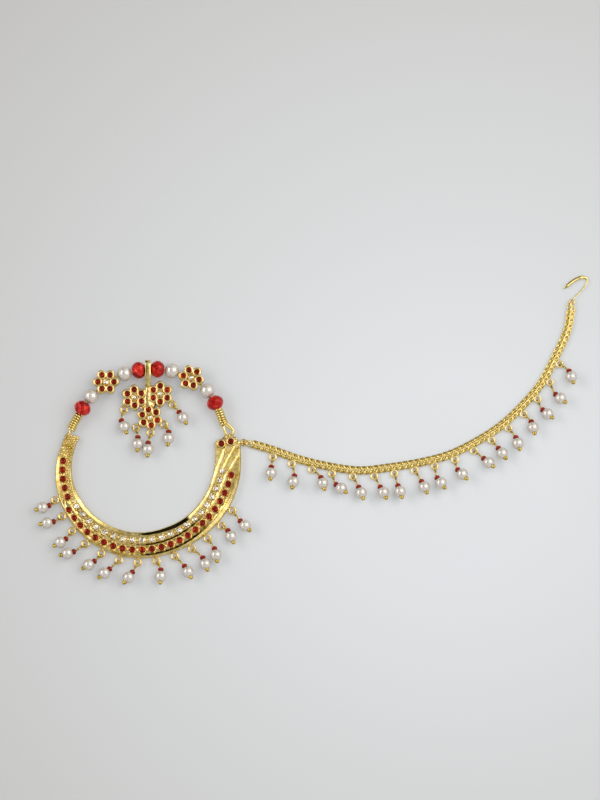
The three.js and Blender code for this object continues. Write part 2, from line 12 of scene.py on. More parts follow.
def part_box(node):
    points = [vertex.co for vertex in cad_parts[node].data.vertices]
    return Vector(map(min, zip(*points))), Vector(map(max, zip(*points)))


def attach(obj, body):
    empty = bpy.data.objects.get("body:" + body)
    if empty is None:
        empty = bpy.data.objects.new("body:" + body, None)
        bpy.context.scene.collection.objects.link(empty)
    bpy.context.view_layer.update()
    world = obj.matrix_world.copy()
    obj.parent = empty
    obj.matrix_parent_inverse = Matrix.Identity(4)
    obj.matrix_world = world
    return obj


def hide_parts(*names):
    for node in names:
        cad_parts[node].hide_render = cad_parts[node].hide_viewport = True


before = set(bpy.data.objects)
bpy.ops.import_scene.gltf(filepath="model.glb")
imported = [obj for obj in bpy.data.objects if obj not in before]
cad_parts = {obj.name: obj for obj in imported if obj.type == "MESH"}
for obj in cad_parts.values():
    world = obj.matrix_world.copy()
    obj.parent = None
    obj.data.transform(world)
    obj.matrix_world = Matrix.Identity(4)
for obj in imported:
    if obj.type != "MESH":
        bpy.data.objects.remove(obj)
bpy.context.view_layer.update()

MM = 0.001
SCENE = bpy.context.scene
UP = np.array((0.0, 0.0, 1.0))

# ---- sizes that the solids share
CHAIN_RING_AT = (33.6, 5.85)  # middle of the loose ring between plate and chain, in the hoop's frame
RING = {"radius": 1.06, "wire": 0.35}
EYE = {"hooked": 0.76, "length": 1.6, "half_width": 0.62, "wire": 0.25, "stem": 0.33}
DROP = {"pearl": 2.0, "seed": 0.98, "seed_back": 2.95, "ball": 0.7, "tip": 2.95}
WIRE = {"radius": 0.35, "left_end": 0.48}
COIL = {"radius": 1.52, "wire": 0.4, "core": 0.8, "turns": 7.0, "length": 5.7}
RONDELLE = {"folds": 14, "rows": [  # distance along the axis, radius
    (-2.2, 0.5), (-2.2, 1.35), (-1.55, 2.18), (-0.55, 2.82),
    (0.55, 2.82), (1.55, 2.18), (2.2, 1.35), (2.2, 0.5)]}
WIRE_PEARL = 2.5
BEAD_GAP = 0.2
FLOWER = {"stones": 6, "circle": 2.65, "thickness": 1.5, "crown": 2.5}
CHAIN = {"height": 1.3, "first_ring": 8.8, "pitch": 6.66}
LINK = {"count": 69, "row": 0.62, "across": 0.64, "along": 1.34, "wire": 0.26, "tilt": -24, "twist": 22,
        "height": 0.8}
# BED is the filling under the links: a stand-in for their lower loops, which gets painted shade.
BED = {"half_width": 1.12, "half_height": 0.3, "height": 0.42, "ripple": 0.11}  # filling under the links
CHAIN_RING = {"offset": 2.05, "height": 0.75}
RIM_RING = {"first": 205.2, "pitch": 10.43, "offset": 1.45, "height": 1.1}
PENDANT_RING_HEIGHT = 0.9
BAIL = {"width": 1.9, "thickness": 0.45, "length": 9.1, "height": 3.5, "tilt": 14, "shift": -1.5}
RISE = {"rim": 12, "chain": 20}
# Collar: inner and outer radius, foot, top. Stone: radius, foot, height. Bead: length, width, top.
SETTINGS = {
    "red": {"collar": (1.05, 1.29, 1.3, 2.26), "uneven": 0.05, "stone": (1.09, 1.82, 0.5), "turn": 11,
            "bead": (0.82, 0.42, 2.22)},
    "clear": {"collar": (0.94, 1.16, 1.3, 2.0), "uneven": 0.1, "stone": (1.02, 1.7, 0.5), "turn": 17,
              "bead": (0.6, 0.4, 2.05)},
}
END_SETTING = {"collar": (0.98, 1.48, 0.05, 2.55), "uneven": 0.05, "stone": (1.03, 2.05, 0.6)}
GRAIN = {"from_stone": 1.12, "height": 2.02, "radius": 0.25}

# ---- short tables, as in the solids
SECTIONS = [  # angle, inner radius, outer radius
    (161, 22.2, 26.4), (170, 22.5, 27.1), (180, 23.1, 28.1), (195, 23.7, 29.4), (210, 24.0, 30.5),
    (225, 24.2, 31.5), (240, 24.3, 32.3), (258, 24.3, 32.8), (272, 24.1, 32.7), (290, 23.7, 32.4),
    (310, 23.8, 32.5), (330, 23.8, 32.8), (350, 23.9, 32.7), (362, 24.1, 32.6), (371, 24.5, 32.8),
]
STONE_ROWS = [  # kind, count, line of (angle, radius)
    ("red", 5, [(181, 26.0), (194, 26.85), (207, 27.45)]),
    ("red", 23, [(215, 29.45), (232, 30.1), (256, 30.4), (290, 29.75), (315, 29.05), (332, 29.25),
                 (350, 29.8)]),
    ("clear", 21, [(216, 26.55), (240, 27.15), (268, 26.95), (296, 26.45), (320, 26.1), (336, 26.35),
                   (352, 26.9)]),
]
END_STONES = [(26.1, 5.3), (29.2, 6.0)]
END_BOSS = (27.3, 2.5, 1.95)
CHAIN_LUG = [(31.2, 5.8, 1.3), (32.2, 5.85, 1.25), (32.9, 5.85, 1.1)]
END_FIELD = [(23.95, 5.9), (25.35, 6.8), (26.5, 7.35), (27.3, 8.2), (28.1, 8.45), (29.2, 8.1), (31.0, 7.5),
             (31.65, 6.4), (31.9, 5.0), (31.9, 3.9), (30.6, 3.3), (28.0, 3.6), (25.4, 3.4), (24.1, 4.2)]
END_PIT = (31.3, 4.2)
END_EYES = [(28.8, 8.0, 1.4, 90, 0.85), (32.65, 5.8, 1.0, 0, 0.7)]  # x, y, z, direction, radius
END_LUMPS = [(25.0, 6.35, 0.42), (24.5, 4.6, 0.4), (27.6, 7.6, 0.5), (27.7, 5.9, 0.42), (30.9, 7.0, 0.55),
             (31.3, 4.6, 0.5), (27.5, 4.1, 0.45), (29.4, 3.9, 0.4), (25.6, 3.6, 0.36)]  # x, y, radius
LEFT_LUMPS = [  # angle, distance, radius
    (160.6, 25.9, 0.62), (160.8, 24.9, 0.5), (160.9, 23.8, 0.55), (160.7, 22.9, 0.62), (161.6, 22.3, 0.5),
    (163.5, 22.4, 0.45), (162.6, 26.4, 0.5), (166.0, 26.7, 0.42)]
WIRE_ROUTE = [
    (-24.0, 7.6, 0.95), (-23.9, 8.8, 1.1), (-23.2, 10.7, 1.5), (-21.4, 14.0, 2.4), (-19.6, 17.2, 2.8),
    (-16.7, 21.2, 2.8), (-11.9, 25.7, 2.8), (-5.4, 28.8, 2.8), (2.2, 30.1, 2.8), (10.0, 29.5, 2.8),
    (16.2, 27.0, 2.8), (21.2, 23.1, 2.8), (24.0, 18.9, 2.8), (25.8, 15.0, 2.3), (27.0, 11.9, 1.7),
    (28.6, 10.8, 1.55), (29.6, 9.3, 1.45), (29.3, 8.2, 1.4), (28.3, 7.8, 1.4), (27.5, 8.6, 1.4),
    (27.3, 10.2, 1.5),
]
# Closed drop-shaped loop that the wire's loose end is bent into.
HOOK_LOOP_ROUTE = [
    (27.0, 12.2, 1.8), (27.9, 12.0, 1.7), (28.9, 11.2, 1.6), (29.8, 10.1, 1.5), (30.1, 9.2, 1.45),
    (29.6, 8.3, 1.4), (28.6, 8.0, 1.4), (27.8, 8.5, 1.4), (27.3, 9.5, 1.45), (26.9, 10.9, 1.6),
]
THREADED = ["rondelle", "pearl", "flower", "pearl", "rondelle", "bail",
            "rondelle", "pearl", "flower", "pearl", "rondelle"]
THREAD_LENGTH = {"rondelle": 4.2, "pearl": 5.0, "flower": 8.2, "bail": 1.7}
THREAD_START = 10.7
WIRE_FLOWER_TURNS = [0, 46]
PENDANT_FLOWERS = [(-2.6, 20.8, 92), (5.9, 22.0, 90), (2.5, 14.1, 100)]  # x, y, turn
PENDANT_RINGS = [  # x, y, flower
    (-6.0, 16.9, 0), (-2.0, 10.9, 2), (2.8, 9.2, 2), (7.2, 11.9, 2), (10.0, 18.6, 1)]
PENDANT_HUB = (1.9, 19.0, 0.0)
PENDANT_STEM = [(1.9, 18.0, 1.3), (1.8, 20.6, 1.6), (2.0, 22.8, 1.7), (2.2, 24.8, 1.6)]
PENDANT_LUMPS = [(1.5, 17.6, 0.5), (3.6, 18.0, 0.45), (-0.3, 17.3, 0.45), (5.2, 17.4, 0.4)]  # x, y, radius
# How each drop lies: direction and distance of its pearl from its ring, and direction of its pin.
RIM_DROPS = [
    (212, 4.9, 200), (205, 5.5, 193), (224, 5.6, 213), (209, 6.9, 197), (223, 5.7, 214), (223, 6.6, 221),
    (239, 6.0, 234), (284, 5.4, 268), (309, 6.9, 299), (310, 6.8, 290), (296, 6.3, 282), (310, 4.9, 294),
    (309, 6.6, 313),
]
PENDANT_DROPS = [(270, 5.9, 292), (275, 5.7, 268), (261, 5.9, 267), (286, 5.0, 266), (306, 5.7, 301)]
CHAIN_DROPS = [
    (263, 5.8, 266), (274, 6.4, 260), (305, 6.1, 285), (299, 6.1, 319), (295, 6.4, 290), (297, 6.6, 296),
    (286, 6.7, 287), (298, 6.8, 294), (289, 6.4, 304), (295, 5.8, 312), (319, 6.6, 317), (307, 5.9, 303),
    (300, 6.3, 286), (303, 5.8, 284), (303, 6.3, 318), (302, 6.8, 317), (311, 6.1, 288),
]
CHAIN_ROUTE = [
    (35.4, 5.7), (42.8, 3.5), (52.1, 0.2), (61.8, -2.1), (71.6, -3.4), (81.5, -2.4), (91.3, -0.8),
    (100.9, 1.7), (109.8, 6.0), (118.1, 11.4), (125.4, 18.2), (131.7, 25.8), (136.4, 34.6), (140.4, 43.6),
    (141.8, 51.4),
]
CHAIN_RING_SOLDER = (33.45, 5.85, 0.8)
CHAIN_END_LINKS = [(34.9, 5.85, 1.0, 0), (141.85, 52.1, 0.95, 80)]  # x, y, z, direction
HOOK_LOOP = (142.0, 53.1, 0.75)
HOOK_ROUTE = [
    (142.2, 53.9), (144.2, 56.0), (146.4, 58.6), (147.1, 60.4), (146.2, 61.4), (144.2, 61.1),
    (141.8, 59.7), (139.5, 57.7),
]

# Where the hoop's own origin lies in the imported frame.
ring_low, ring_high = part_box("chain_ring")
HOOP = np.array([(ring_low[i] + ring_high[i]) / 2 / MM - CHAIN_RING_AT[i] for i in (0, 1)] + [0.0])

# ---- small geometry helpers
def heading(degrees):
    """Level unit vector: cosine, sine and 0."""
    return np.array((math.cos(math.radians(degrees)), math.sin(math.radians(degrees)), 0.0))


def polar(degrees, radius, z=0.0):
    return heading(degrees) * radius + UP * z


def bearing(vector):
    return math.degrees(math.atan2(vector[1], vector[0]))


def unit(vector):
    return vector / np.linalg.norm(vector)


def lap(count, shift=0):
    """Evenly spaced angles, once round, in radians."""
    return (np.arange(count) + shift) * 2 * math.pi / count


def level_ring(x, y, radius, angles, z):
    return np.stack([x + radius * np.cos(angles), y + radius * np.sin(angles), np.full(len(angles), z)], -1)


def fade(low, high, value):
    """0 up to low and 1 from high on, with a smooth step between; high may be below low."""
    t = np.clip((np.asarray(value, float) - low) / (high - low), 0, 1)
    return t * t * (3 - 2 * t)


def look_up(rows, position, column=1):
    return np.interp(position, [row[0] for row in rows], [row[column] for row in rows])


def eased(rows, position):
    """Smooth curve through a table of (position, value) rows, level beyond its ends."""
    xs, ys = np.array(rows, float).T
    slopes = np.gradient(ys, xs)
    i = np.clip(np.searchsorted(xs, position) - 1, 0, len(xs) - 2)
    span = xs[i + 1] - xs[i]
    t = np.clip((position - xs[i]) / span, 0, 1)
    t2, t3 = t * t, t * t * t
    return ((2 * t3 - 3 * t2 + 1) * ys[i] + (t3 - 2 * t2 + t) * span * slopes[i]
            + (3 * t2 - 2 * t3) * ys[i + 1] + (t3 - t2) * span * slopes[i + 1])


def frame_along(direction, roll=0.0):
    """Columns: local x, y along the direction, and z as near to up as it can be, rolled about y."""
    y = unit(np.asarray(direction, float))
    x = unit(np.cross(y, UP))
    z = np.cross(x, y)
    c, s, _ = heading(roll)
    return np.array([c * x - s * z, y, s * x + c * z]).T


def placed(points, centre, basis):
    return np.asarray(points, float) @ basis.T + np.asarray(centre, float)


def catmull(points, per_span=24):
    """Centripetal curve through the points, as a dense list."""
    p = np.asarray(points, float)
    p = np.vstack([2 * p[0] - p[1], p, 2 * p[-1] - p[-2]])
    t = np.linspace(0, 1, per_span, endpoint=False)[:, None]
    out = []
    for a, b, c, d in zip(p[:-3], p[1:-2], p[2:-1], p[3:]):
        k0, k1, k2 = (math.sqrt(max(np.linalg.norm(v), 1e-6)) for v in (b - a, c - b, d - c))
        m1 = ((b - a) / k0 - (c - a) / (k0 + k1) + (c - b) / k1) * k1
        m2 = ((c - b) / k1 - (d - b) / (k1 + k2) + (d - c) / k2) * k1
        out.append(b + m1 * t + (-3 * b + 3 * c - 2 * m1 - m2) * t**2 + (2 * b - 2 * c + m1 + m2) * t**3)
    return np.vstack([*out, p[-2][None]])


def loop_through(points, per_span):
    return catmull([*points, points[0]], per_span)[:-1]


class Route:
    """A dense curve that is read by its length."""

    def __init__(self, points, height=None):
        self.points = catmull(points if height is None else [(*p[:2], height) for p in points])
        steps = np.linalg.norm(np.diff(self.points, axis=0), axis=1)
        self.at = np.concatenate([[0], np.cumsum(steps)])
        self.length = self.at[-1]

    def point(self, distance):
        return np.array([np.interp(distance, self.at, self.points[:, i]) for i in range(3)]).T

    def tangent(self, distance):
        return unit(self.point(distance + 0.05) - self.point(distance - 0.05))

    def basis(self, distance, roll=0.0):
        return frame_along(self.tangent(distance), roll)


# ---- mesh gathering
def corners(*columns):
    """Faces from the numbers of their points, one array for each corner."""
    return np.stack(np.broadcast_arrays(*columns), -1)


def mark(mesh, name, values):
    """Give each point of a mesh a value that its material reads."""
    mesh.attributes.new(name, "FLOAT", "POINT").data.foreach_set("value", values)


class Shape:
    """Faces gathered in millimetres, then made into one piece."""

    def __init__(self):
        self.points, self.faces, self.count = [], [], 0
        # stays_bright keeps the points added next out of the painted shade
        self.raised, self.stays_bright = [], False

    def add(self, points, faces, skin=0, smooth=True):
        points = np.reshape(points, (-1, 3))
        self.raised.append(np.full(len(points), self.stays_bright))
        self.faces += [(rows + self.count, skin, smooth) for rows in faces]
        self.points.append(points)
        self.count += len(points)

    def make(self, name, skins, slot, nodes=(), shade_heights=None):
        """One piece; its last argument is the pair of heights below and above which the metal gets painted
        shade and stays bright.
        """
        mesh = bpy.data.meshes.new(name)
        points = np.concatenate(self.points)
        mesh.vertices.add(len(points))
        mesh.vertices.foreach_set("co", ((points + HOOP) * MM).ravel())
        corner_points = np.concatenate([rows.ravel() for rows, _, _ in self.faces])
        mesh.loops.add(len(corner_points))
        mesh.loops.foreach_set("vertex_index", corner_points)
        sizes, skin, smooth = (np.concatenate(values) for values in zip(*(
            [np.full(len(rows), value) for value in (rows.shape[1], *marks)] for rows, *marks in self.faces)))
        mesh.polygons.add(len(sizes))
        mesh.polygons.foreach_set("loop_start", np.concatenate([[0], np.cumsum(sizes)[:-1]]))
        for material in skins:
            mesh.materials.append(material)
        mesh.polygons.foreach_set("material_index", skin)
        mesh.polygons.foreach_set("use_smooth", smooth)
        mesh.update(calc_edges=True)
        mesh.validate()
        work = bmesh.new()
        work.from_mesh(mesh)
        bmesh.ops.recalc_face_normals(work, faces=work.faces)
        work.to_mesh(mesh)
        work.free()
        # painted shade: points low on the piece are marked dark, except points kept bright
        if shade_heights:
            mark(mesh, "painted_dark", np.where(np.concatenate(self.raised), 0.0, 1 - fade(*shade_heights, points[:, 2])))
        piece = bpy.data.objects.new(name, mesh)
        SCENE.collection.objects.link(piece)
        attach(piece, "root")
        if nodes:
            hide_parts(*nodes)
        return piece


def loft(shape, rings, closed=False, skin=0, tips=(None, None)):
    """Skin through closed rings, with a fan on each open end, to its middle or to a given tip."""
    rings = np.asarray(rings, float)
    rows, columns = rings.shape[:2]
    row = np.arange(rows if closed else rows - 1)[:, None] * columns
    below = (row + columns) % (rows * columns)
    j = np.arange(columns)
    after = (j + 1) % columns
    points = [rings.reshape(-1, 3)]
    faces = [corners(row + j, row + after, below + after, below + j).reshape(-1, 4)]
    if not closed:
        for end, tip in enumerate(tips):
            first = end * (rows - 1) * columns
            fan = corners(first + j, first + after, rows * columns + end)
            faces.append(fan if end else fan[:, ::-1])
            points.append(np.reshape(rings[-end].mean(0) if tip is None else tip, (1, 3)))
    shape.add(np.vstack(points), faces, skin)


def tube(shape, path, radius, sides=8, closed=False, skin=0, flat=1.0, round_ends=False):
    """Tube along a path; flat is its height over its width."""
    path = np.asarray(path, float)
    radius = np.broadcast_to(np.asarray(radius, float), (len(path),))
    tangents = np.roll(path, -1, 0) - np.roll(path, 1, 0) if closed else np.gradient(path, axis=0)
    tangents /= np.linalg.norm(tangents, axis=1)[:, None]
    if round_ends:
        path = np.vstack([path[0] - tangents[0] * radius[0] * 0.6, path,
                          path[-1] + tangents[-1] * radius[-1] * 0.6])
        tangents = np.vstack([tangents[:1], tangents, tangents[-1:]])
        radius = np.concatenate([radius[:1] * 0.6, radius, radius[-1:] * 0.6])
    side = np.cross(tangents[0], UP)
    if np.linalg.norm(side) < 0.1:
        side = np.cross(tangents[0], (1.0, 0.0, 0.0))
    normal = unit(np.cross(unit(side), tangents[0]))
    normals = []
    for tangent in tangents:
        normal = unit(normal - tangent * normal.dot(tangent))
        normals.append(normal)
    normals = np.array(normals)
    if closed:  # the twist that is left over after one lap is shared out
        last = normals[-1] - tangents[0] * normals[-1].dot(tangents[0])
        left = math.atan2(last.dot(np.cross(tangents[0], normals[0])), last.dot(normals[0]))
        turn = -left * np.arange(len(path))[:, None] / len(path)
        normals = normals * np.cos(turn) + np.cross(tangents, normals) * np.sin(turn)
    angles = lap(sides)[None, :, None]
    across, upward = np.cross(tangents, normals)[:, None], normals[:, None] * flat
    rings = path[:, None] + radius[:, None, None] * (across * np.cos(angles) + upward * np.sin(angles))
    loft(shape, rings, closed, skin)


def lathe(shape, profile, centre, basis, sides=24, skin=0, bored=False):
    """Solid of revolution about local +Y; the profile is a list of (radius, distance along the axis)."""
    profile, axis, angles = np.asarray(profile, float), np.array((0.0, 1.0, 0.0)), lap(sides)
    ring = np.stack([np.sin(angles), 0 * angles, np.cos(angles)], -1)
    tips = [placed(axis * profile[k][1], centre, basis) if profile[k][0] == 0 else None for k in (0, -1)]
    body = profile[profile[:, 0] > 0]
    rings = body[:, None, :1] * ring[None] + body[:, None, 1:] * axis
    loft(shape, placed(rings, centre, basis), bored, skin, tips)


UPRIGHT = np.array([[1.0, 0, 0], [0, 0, -1.0], [0, 1.0, 0]])  # local +Y points up


def sphere_profile(radius, steps=14, bore=0.0, stretch=1.0):
    angles = [math.radians(a) for a in np.linspace(-90, 90, steps + 1)]
    rows = [(radius * math.cos(a), stretch * radius * math.sin(a)) for a in angles]
    if bore:
        rows = [row for row in rows if row[0] > bore]
        return [(bore, rows[0][1]), *rows, (bore, rows[-1][1])]
    return [(0, rows[0][1]), *rows[1:-1], (0, rows[-1][1])]


def lump(shape, at, radius, steps=6, sides=10, stretch=1.0):
    """Small ball of cast metal."""
    lathe(shape, sphere_profile(radius, steps, stretch=stretch), at, UPRIGHT, sides)


def ring_path(centre, radius, start=0.0, count=24, basis=None, long=1.0):
    angles = np.radians(start) + lap(count)
    flat = level_ring(0, 0, radius, angles, 0.0) * (1, long, 1)
    return placed(flat, centre, np.eye(3) if basis is None else basis)


def gem(shape, place, radius, base, height, turn=0.0):
    """Cut stone seen from above: girdle, crown facets and a flat table."""
    n = 8
    x, y = place[:2]
    cut = [(2 * n, 1.0, 0.0, 0), (2 * n, 1.0, 0.25, 0), (n, 0.8, 0.68, 0), (n, 0.52, 1.0, 0.5)]
    rings = [level_ring(x, y, width * radius, np.radians(turn) + lap(count, shift), base + level * height)
             for count, width, level, shift in cut]
    girdle, crown, table, pole = 2 * n, 4 * n, 5 * n, 6 * n  # first point of each
    k, j = np.arange(n), np.arange(2 * n)
    k_next, j_next = (k + 1) % n, (j + 1) % (2 * n)
    even, odd, before = girdle + 2 * k, girdle + 2 * k + 1, girdle + (2 * k - 1) % (2 * n)
    faces = [corners(j_next, j, pole), corners(before, even, crown + k), corners(even, odd, crown + k),
             corners(odd, crown + k_next, crown + k), corners(crown + k, crown + k_next, table + k),
             corners(crown + k_next, table + k_next, table + k),
             corners(j, j_next, girdle + j_next, girdle + j), (table + k)[None]]
    shape.add(np.vstack([*rings, [[x, y, base]]]), faces, smooth=False)


def collar(shape, place, inner, outer, foot, top, wobble=0.0, seed=0):
    """Rounded bezel that holds a stone, from its foot to its lip; its outer edge may be a little uneven."""
    angles = lap(22)
    wave = 1 + wobble * np.array([
        noise.noise(Vector((math.cos(a) * 1.3, math.sin(a) * 1.3, seed * 3.7))) for a in angles])
    profile = [(outer + 0.06, foot), (outer + 0.02, top - 0.3), (outer - 0.1, top - 0.06),
               ((inner + outer) / 2, top + 0.02), (inner, top - 0.1), (inner - 0.02, foot)]
    loft(shape, [level_ring(*place[:2], radius * (wave if radius >= outer - 0.2 else 1), angles, z)
                 for radius, z in profile], closed=True)


# ---- materials
def node_of(tree, kind, inputs=None, **settings):
    node = tree.nodes.new(kind)
    for key, value in settings.items():
        setattr(node, key, value)
    for key, value in (inputs or {}).items():
        if isinstance(value, bpy.types.NodeSocket):
            tree.links.new(value, node.inputs[key])
        else:
            node.inputs[key].default_value = value
    return node


def maths(tree, operation, first, second, kind="ShaderNodeMath"):
    return node_of(tree, kind, {0: first, 1: second}, operation=operation).outputs["Value"]


def remap(tree, value, start=0.0, end=1.0, low=0.0, high=1.0):
    """The value between start and end, as a value between low and high."""
    return node_of(tree, "ShaderNodeMapRange", {
        "Value": value, "From Min": start, "From Max": end, "To Min": low, "To Max": high}).outputs["Result"]


class Skin:
    """A material with one Principled shader, with short calls for its textures."""

    def __init__(self, name, **constants):
        self.material = bpy.data.materials.new(name)
        self.material.use_nodes = True
        self.tree = self.material.node_tree
        self.shader = self.tree.nodes["Principled BSDF"]
        for key, value in constants.items():
            self.shader.inputs[key.replace("_", " ")].default_value = value
        self.place = node_of(self.tree, "ShaderNodeTexCoord").outputs["Object"]

    def noise(self, size_mm, detail=3.0):
        return node_of(self.tree, "ShaderNodeTexNoise", {
            "Vector": self.place, "Scale": 1 / (size_mm * MM), "Detail": detail}).outputs["Fac"]

    def cells(self, size_mm, output="Distance"):
        return node_of(self.tree, "ShaderNodeTexVoronoi", {
            "Vector": self.place, "Scale": 1 / (size_mm * MM)}).outputs[output]

    def attribute(self, name):
        return node_of(self.tree, "ShaderNodeAttribute", attribute_name=name).outputs["Fac"]

    def ramp(self, value, stops):
        node = node_of(self.tree, "ShaderNodeValToRGB", {"Fac": value})
        elements = node.color_ramp.elements
        while len(elements) < len(stops):
            elements.new(0.5)
        for element, (position, colour) in zip(elements, stops):
            element.position = position
            element.color = (*colour, 1.0)
        return node.outputs["Color"]

    def shaded(self, colour):
        """The colour, darkened towards GOLD_SHADE where the piece carries its painted-dark mark: painted
        shade, and on the plate also a painted dark reflection.
        """
        mix = node_of(self.tree, "ShaderNodeMix", data_type="RGBA")
        self.tree.links.new(self.attribute("painted_dark"), mix.inputs["Factor"])
        self.tree.links.new(colour, mix.inputs["A"])
        mix.inputs["B"].default_value = (*GOLD_SHADE, 1.0)
        return mix.outputs["Result"]

    def bump(self, height, depth_mm, after=None):
        inputs = {"Height": height, "Distance": depth_mm * MM, "Strength": 1.0}
        if after is not None:
            inputs["Normal"] = after
        return node_of(self.tree, "ShaderNodeBump", inputs).outputs["Normal"]

    def finished(self, **sockets):
        for key, value in sockets.items():
            self.tree.links.new(value, self.shader.inputs[key.replace("_", " ")])
        return self.material


# GOLD_SHADE is the colour of the painted shade and painted dark reflection; the other two are tones of the
# metal itself.
GOLD_LIGHT, GOLD_DEEP, GOLD_SHADE = (0.91, 0.74, 0.345), (0.56, 0.375, 0.06), (0.18, 0.10, 0.014)


def gold(name, roughness, colours, grain_mm, grain_depth, tone_mm):
    """Gold with a fine grain, patches of a darker and a lighter tone, and painted shade where its piece is
    marked.
    """
    skin = Skin(name, Metallic=1.0)
    low, high = colours
    return skin.finished(
        Base_Color=skin.shaded(skin.ramp(skin.noise(tone_mm), [(0.32, low), (0.68, high)])),
        Roughness=remap(skin.tree, skin.noise(tone_mm * 0.4), low=roughness[0], high=roughness[1]),
        Normal=skin.bump(skin.noise(grain_mm, 2.0), grain_depth))


def plate_gold():
    """One metal whose finish follows the plate: polished, matte or sanded, with painted shade and painted
    dark reflection where the plate is marked.
    """
    skin = Skin("plate_gold", Metallic=1.0)
    polish, grain = skin.attribute("polish"), skin.noise(0.17, 2.0)
    uneven = remap(skin.tree, grain, low=0.75, high=1.25)
    sand = maths(skin.tree, "MULTIPLY", maths(skin.tree, "SUBTRACT", 1.0, polish), grain)
    return skin.finished(
        Base_Color=skin.shaded(skin.ramp(skin.noise(1.3), [(0.3, GOLD_DEEP), (0.7, GOLD_LIGHT)])),
        Roughness=maths(skin.tree, "MULTIPLY", remap(skin.tree, polish, low=0.42, high=0.07), uneven),
        Normal=skin.bump(sand, 0.07, after=skin.bump(skin.noise(1.6, 1.0), 0.034)))


def pearl():
    """Satin body with painted shade that darkens and warms it towards its edge, under a clear coat."""
    skin = Skin("pearl", Roughness=0.5, Coat_Weight=1.0, Coat_Roughness=0.08, Coat_IOR=3.0,
                Specular_IOR_Level=0.1)
    facing = node_of(skin.tree, "ShaderNodeLayerWeight", {"Blend": 0.4}).outputs["Facing"]
    turned = maths(skin.tree, "ADD", facing, remap(skin.tree, skin.noise(2.2, 1.0), low=-0.16, high=0.16))
    return skin.finished(
        Base_Color=skin.ramp(turned, [(0.0, (0.60, 0.54, 0.46)), (0.5, (0.50, 0.43, 0.345)),
                                      (0.8, (0.33, 0.265, 0.185)), (1.0, (0.20, 0.145, 0.08))]),
        Normal=skin.bump(skin.noise(2.4, 1.0), 0.006))


def seed_glass():
    skin = Skin("seed_glass", Roughness=0.25, Coat_Weight=0.12, Coat_Roughness=0.05, Specular_IOR_Level=0.15)
    return skin.finished(
        Base_Color=skin.ramp(skin.noise(0.6), [(0.3, (0.19, 0.006, 0.001)), (0.7, (0.36, 0.020, 0.002))]))


def red_glass():
    """Clear red crystal of the faceted beads on the wire, with its deeper and lighter patches."""
    skin = Skin("red_glass", Roughness=0.07, Metallic=0.35, Specular_IOR_Level=0.2, Coat_Weight=0.22,
                Coat_Roughness=0.03)
    return skin.finished(
        Base_Color=skin.ramp(skin.cells(1.5, "Color"), [
            (0.25, (0.28, 0.002, 0.001)), (0.5, (0.46, 0.006, 0.002)), (0.8, (0.68, 0.03, 0.014))]),
        Normal=skin.bump(skin.noise(0.9, 1.0), 0.05))


def red_stone():
    """Small foiled red stone: each is a little darker or brighter than its neighbour."""
    skin = Skin("red_stone", Roughness=0.2, Metallic=0.4, Coat_Weight=0.14, Coat_Roughness=0.03, Coat_IOR=1.5,
                Specular_IOR_Level=0.12)
    mixed = maths(skin.tree, "ADD", skin.cells(0.6), skin.noise(3.1, 1.0))
    return skin.finished(Base_Color=skin.ramp(mixed, [
        (0.45, (0.85, 0.07, 0.010)), (0.72, (0.42, 0.024, 0.003)), (1.0, (0.16, 0.007, 0.001))]))


def clear_stone():
    skin = Skin("clear_stone", Roughness=0.05, Metallic=0.85, Coat_Weight=1.0, Coat_Roughness=0.02)
    return skin.finished(
        Base_Color=skin.ramp(skin.cells(0.45, "Color"), [
            (0.2, (0.26, 0.21, 0.13)), (0.5, (0.66, 0.61, 0.50)), (0.8, (1.0, 0.97, 0.90))]),
        Normal=skin.bump(skin.cells(0.5), 0.22))


CAST_GOLD = gold("cast_gold", (0.15, 0.32), ((0.69, 0.46, 0.105), (0.96, 0.77, 0.385)), 0.5, 0.04, 1.2)
WIRE_GOLD = gold("wire_gold", (0.08, 0.22), ((0.70, 0.51, 0.13), (0.86, 0.70, 0.32)), 0.8, 0.02, 2.0)
CHAIN_GOLD = gold("chain_gold", (0.1, 0.24), ((0.64, 0.47, 0.12), (0.88, 0.71, 0.31)), 0.5, 0.02, 1.0)
BAIL_GOLD = gold("bail_gold", (0.14, 0.3), (GOLD_DEEP, GOLD_LIGHT), 0.7, 0.03, 1.6)
PALE_GOLD = gold("pale_gold", (0.3, 0.42), ((0.78, 0.62, 0.28), (0.92, 0.76, 0.40)), 0.4, 0.02, 2.0)
PIN_GOLD = gold("pin_gold", (0.1, 0.24), ((0.42, 0.28, 0.04), (0.66, 0.48, 0.12)), 0.6, 0.02, 1.2)
# dark gold for the coils' core: painted shade where the core shows between the turns
CORE_SHADE_GOLD = gold("core_shade_gold", (0.3, 0.45), (GOLD_SHADE, GOLD_DEEP), 0.5, 0.03, 1.0)
PLATE_GOLD, PEARL, SEED = plate_gold(), pearl(), seed_glass()
RED_GLASS, RED_STONE, CLEAR_STONE = red_glass(), red_stone(), clear_stone()


def make_stones(name, red, clear, plural="s"):
    red.make(f"{name}_red_stones", [RED_STONE], "red_stone")
    clear.make(f"{name}_clear_stone{plural}", [CLEAR_STONE], "clear_stone")


# ---- drops and their rings
def drop_pose(ring, row, rise):
    """Pearl's place, pin's direction, far end of the bead, and the bearing of that end from the ring."""
    swing, reach, lie = row
    pearl_at = ring + heading(swing) * reach
    pearl_at[2] = DROP["pearl"]
    pin = polar(lie, *heading(rise)[:2])
    seed_end = pearl_at - pin * DROP["seed_back"]
    return pearl_at, pin, seed_end, bearing(seed_end - ring)


def hooked_side(ring, row, rise):
    return drop_pose(ring, row, rise)[3]


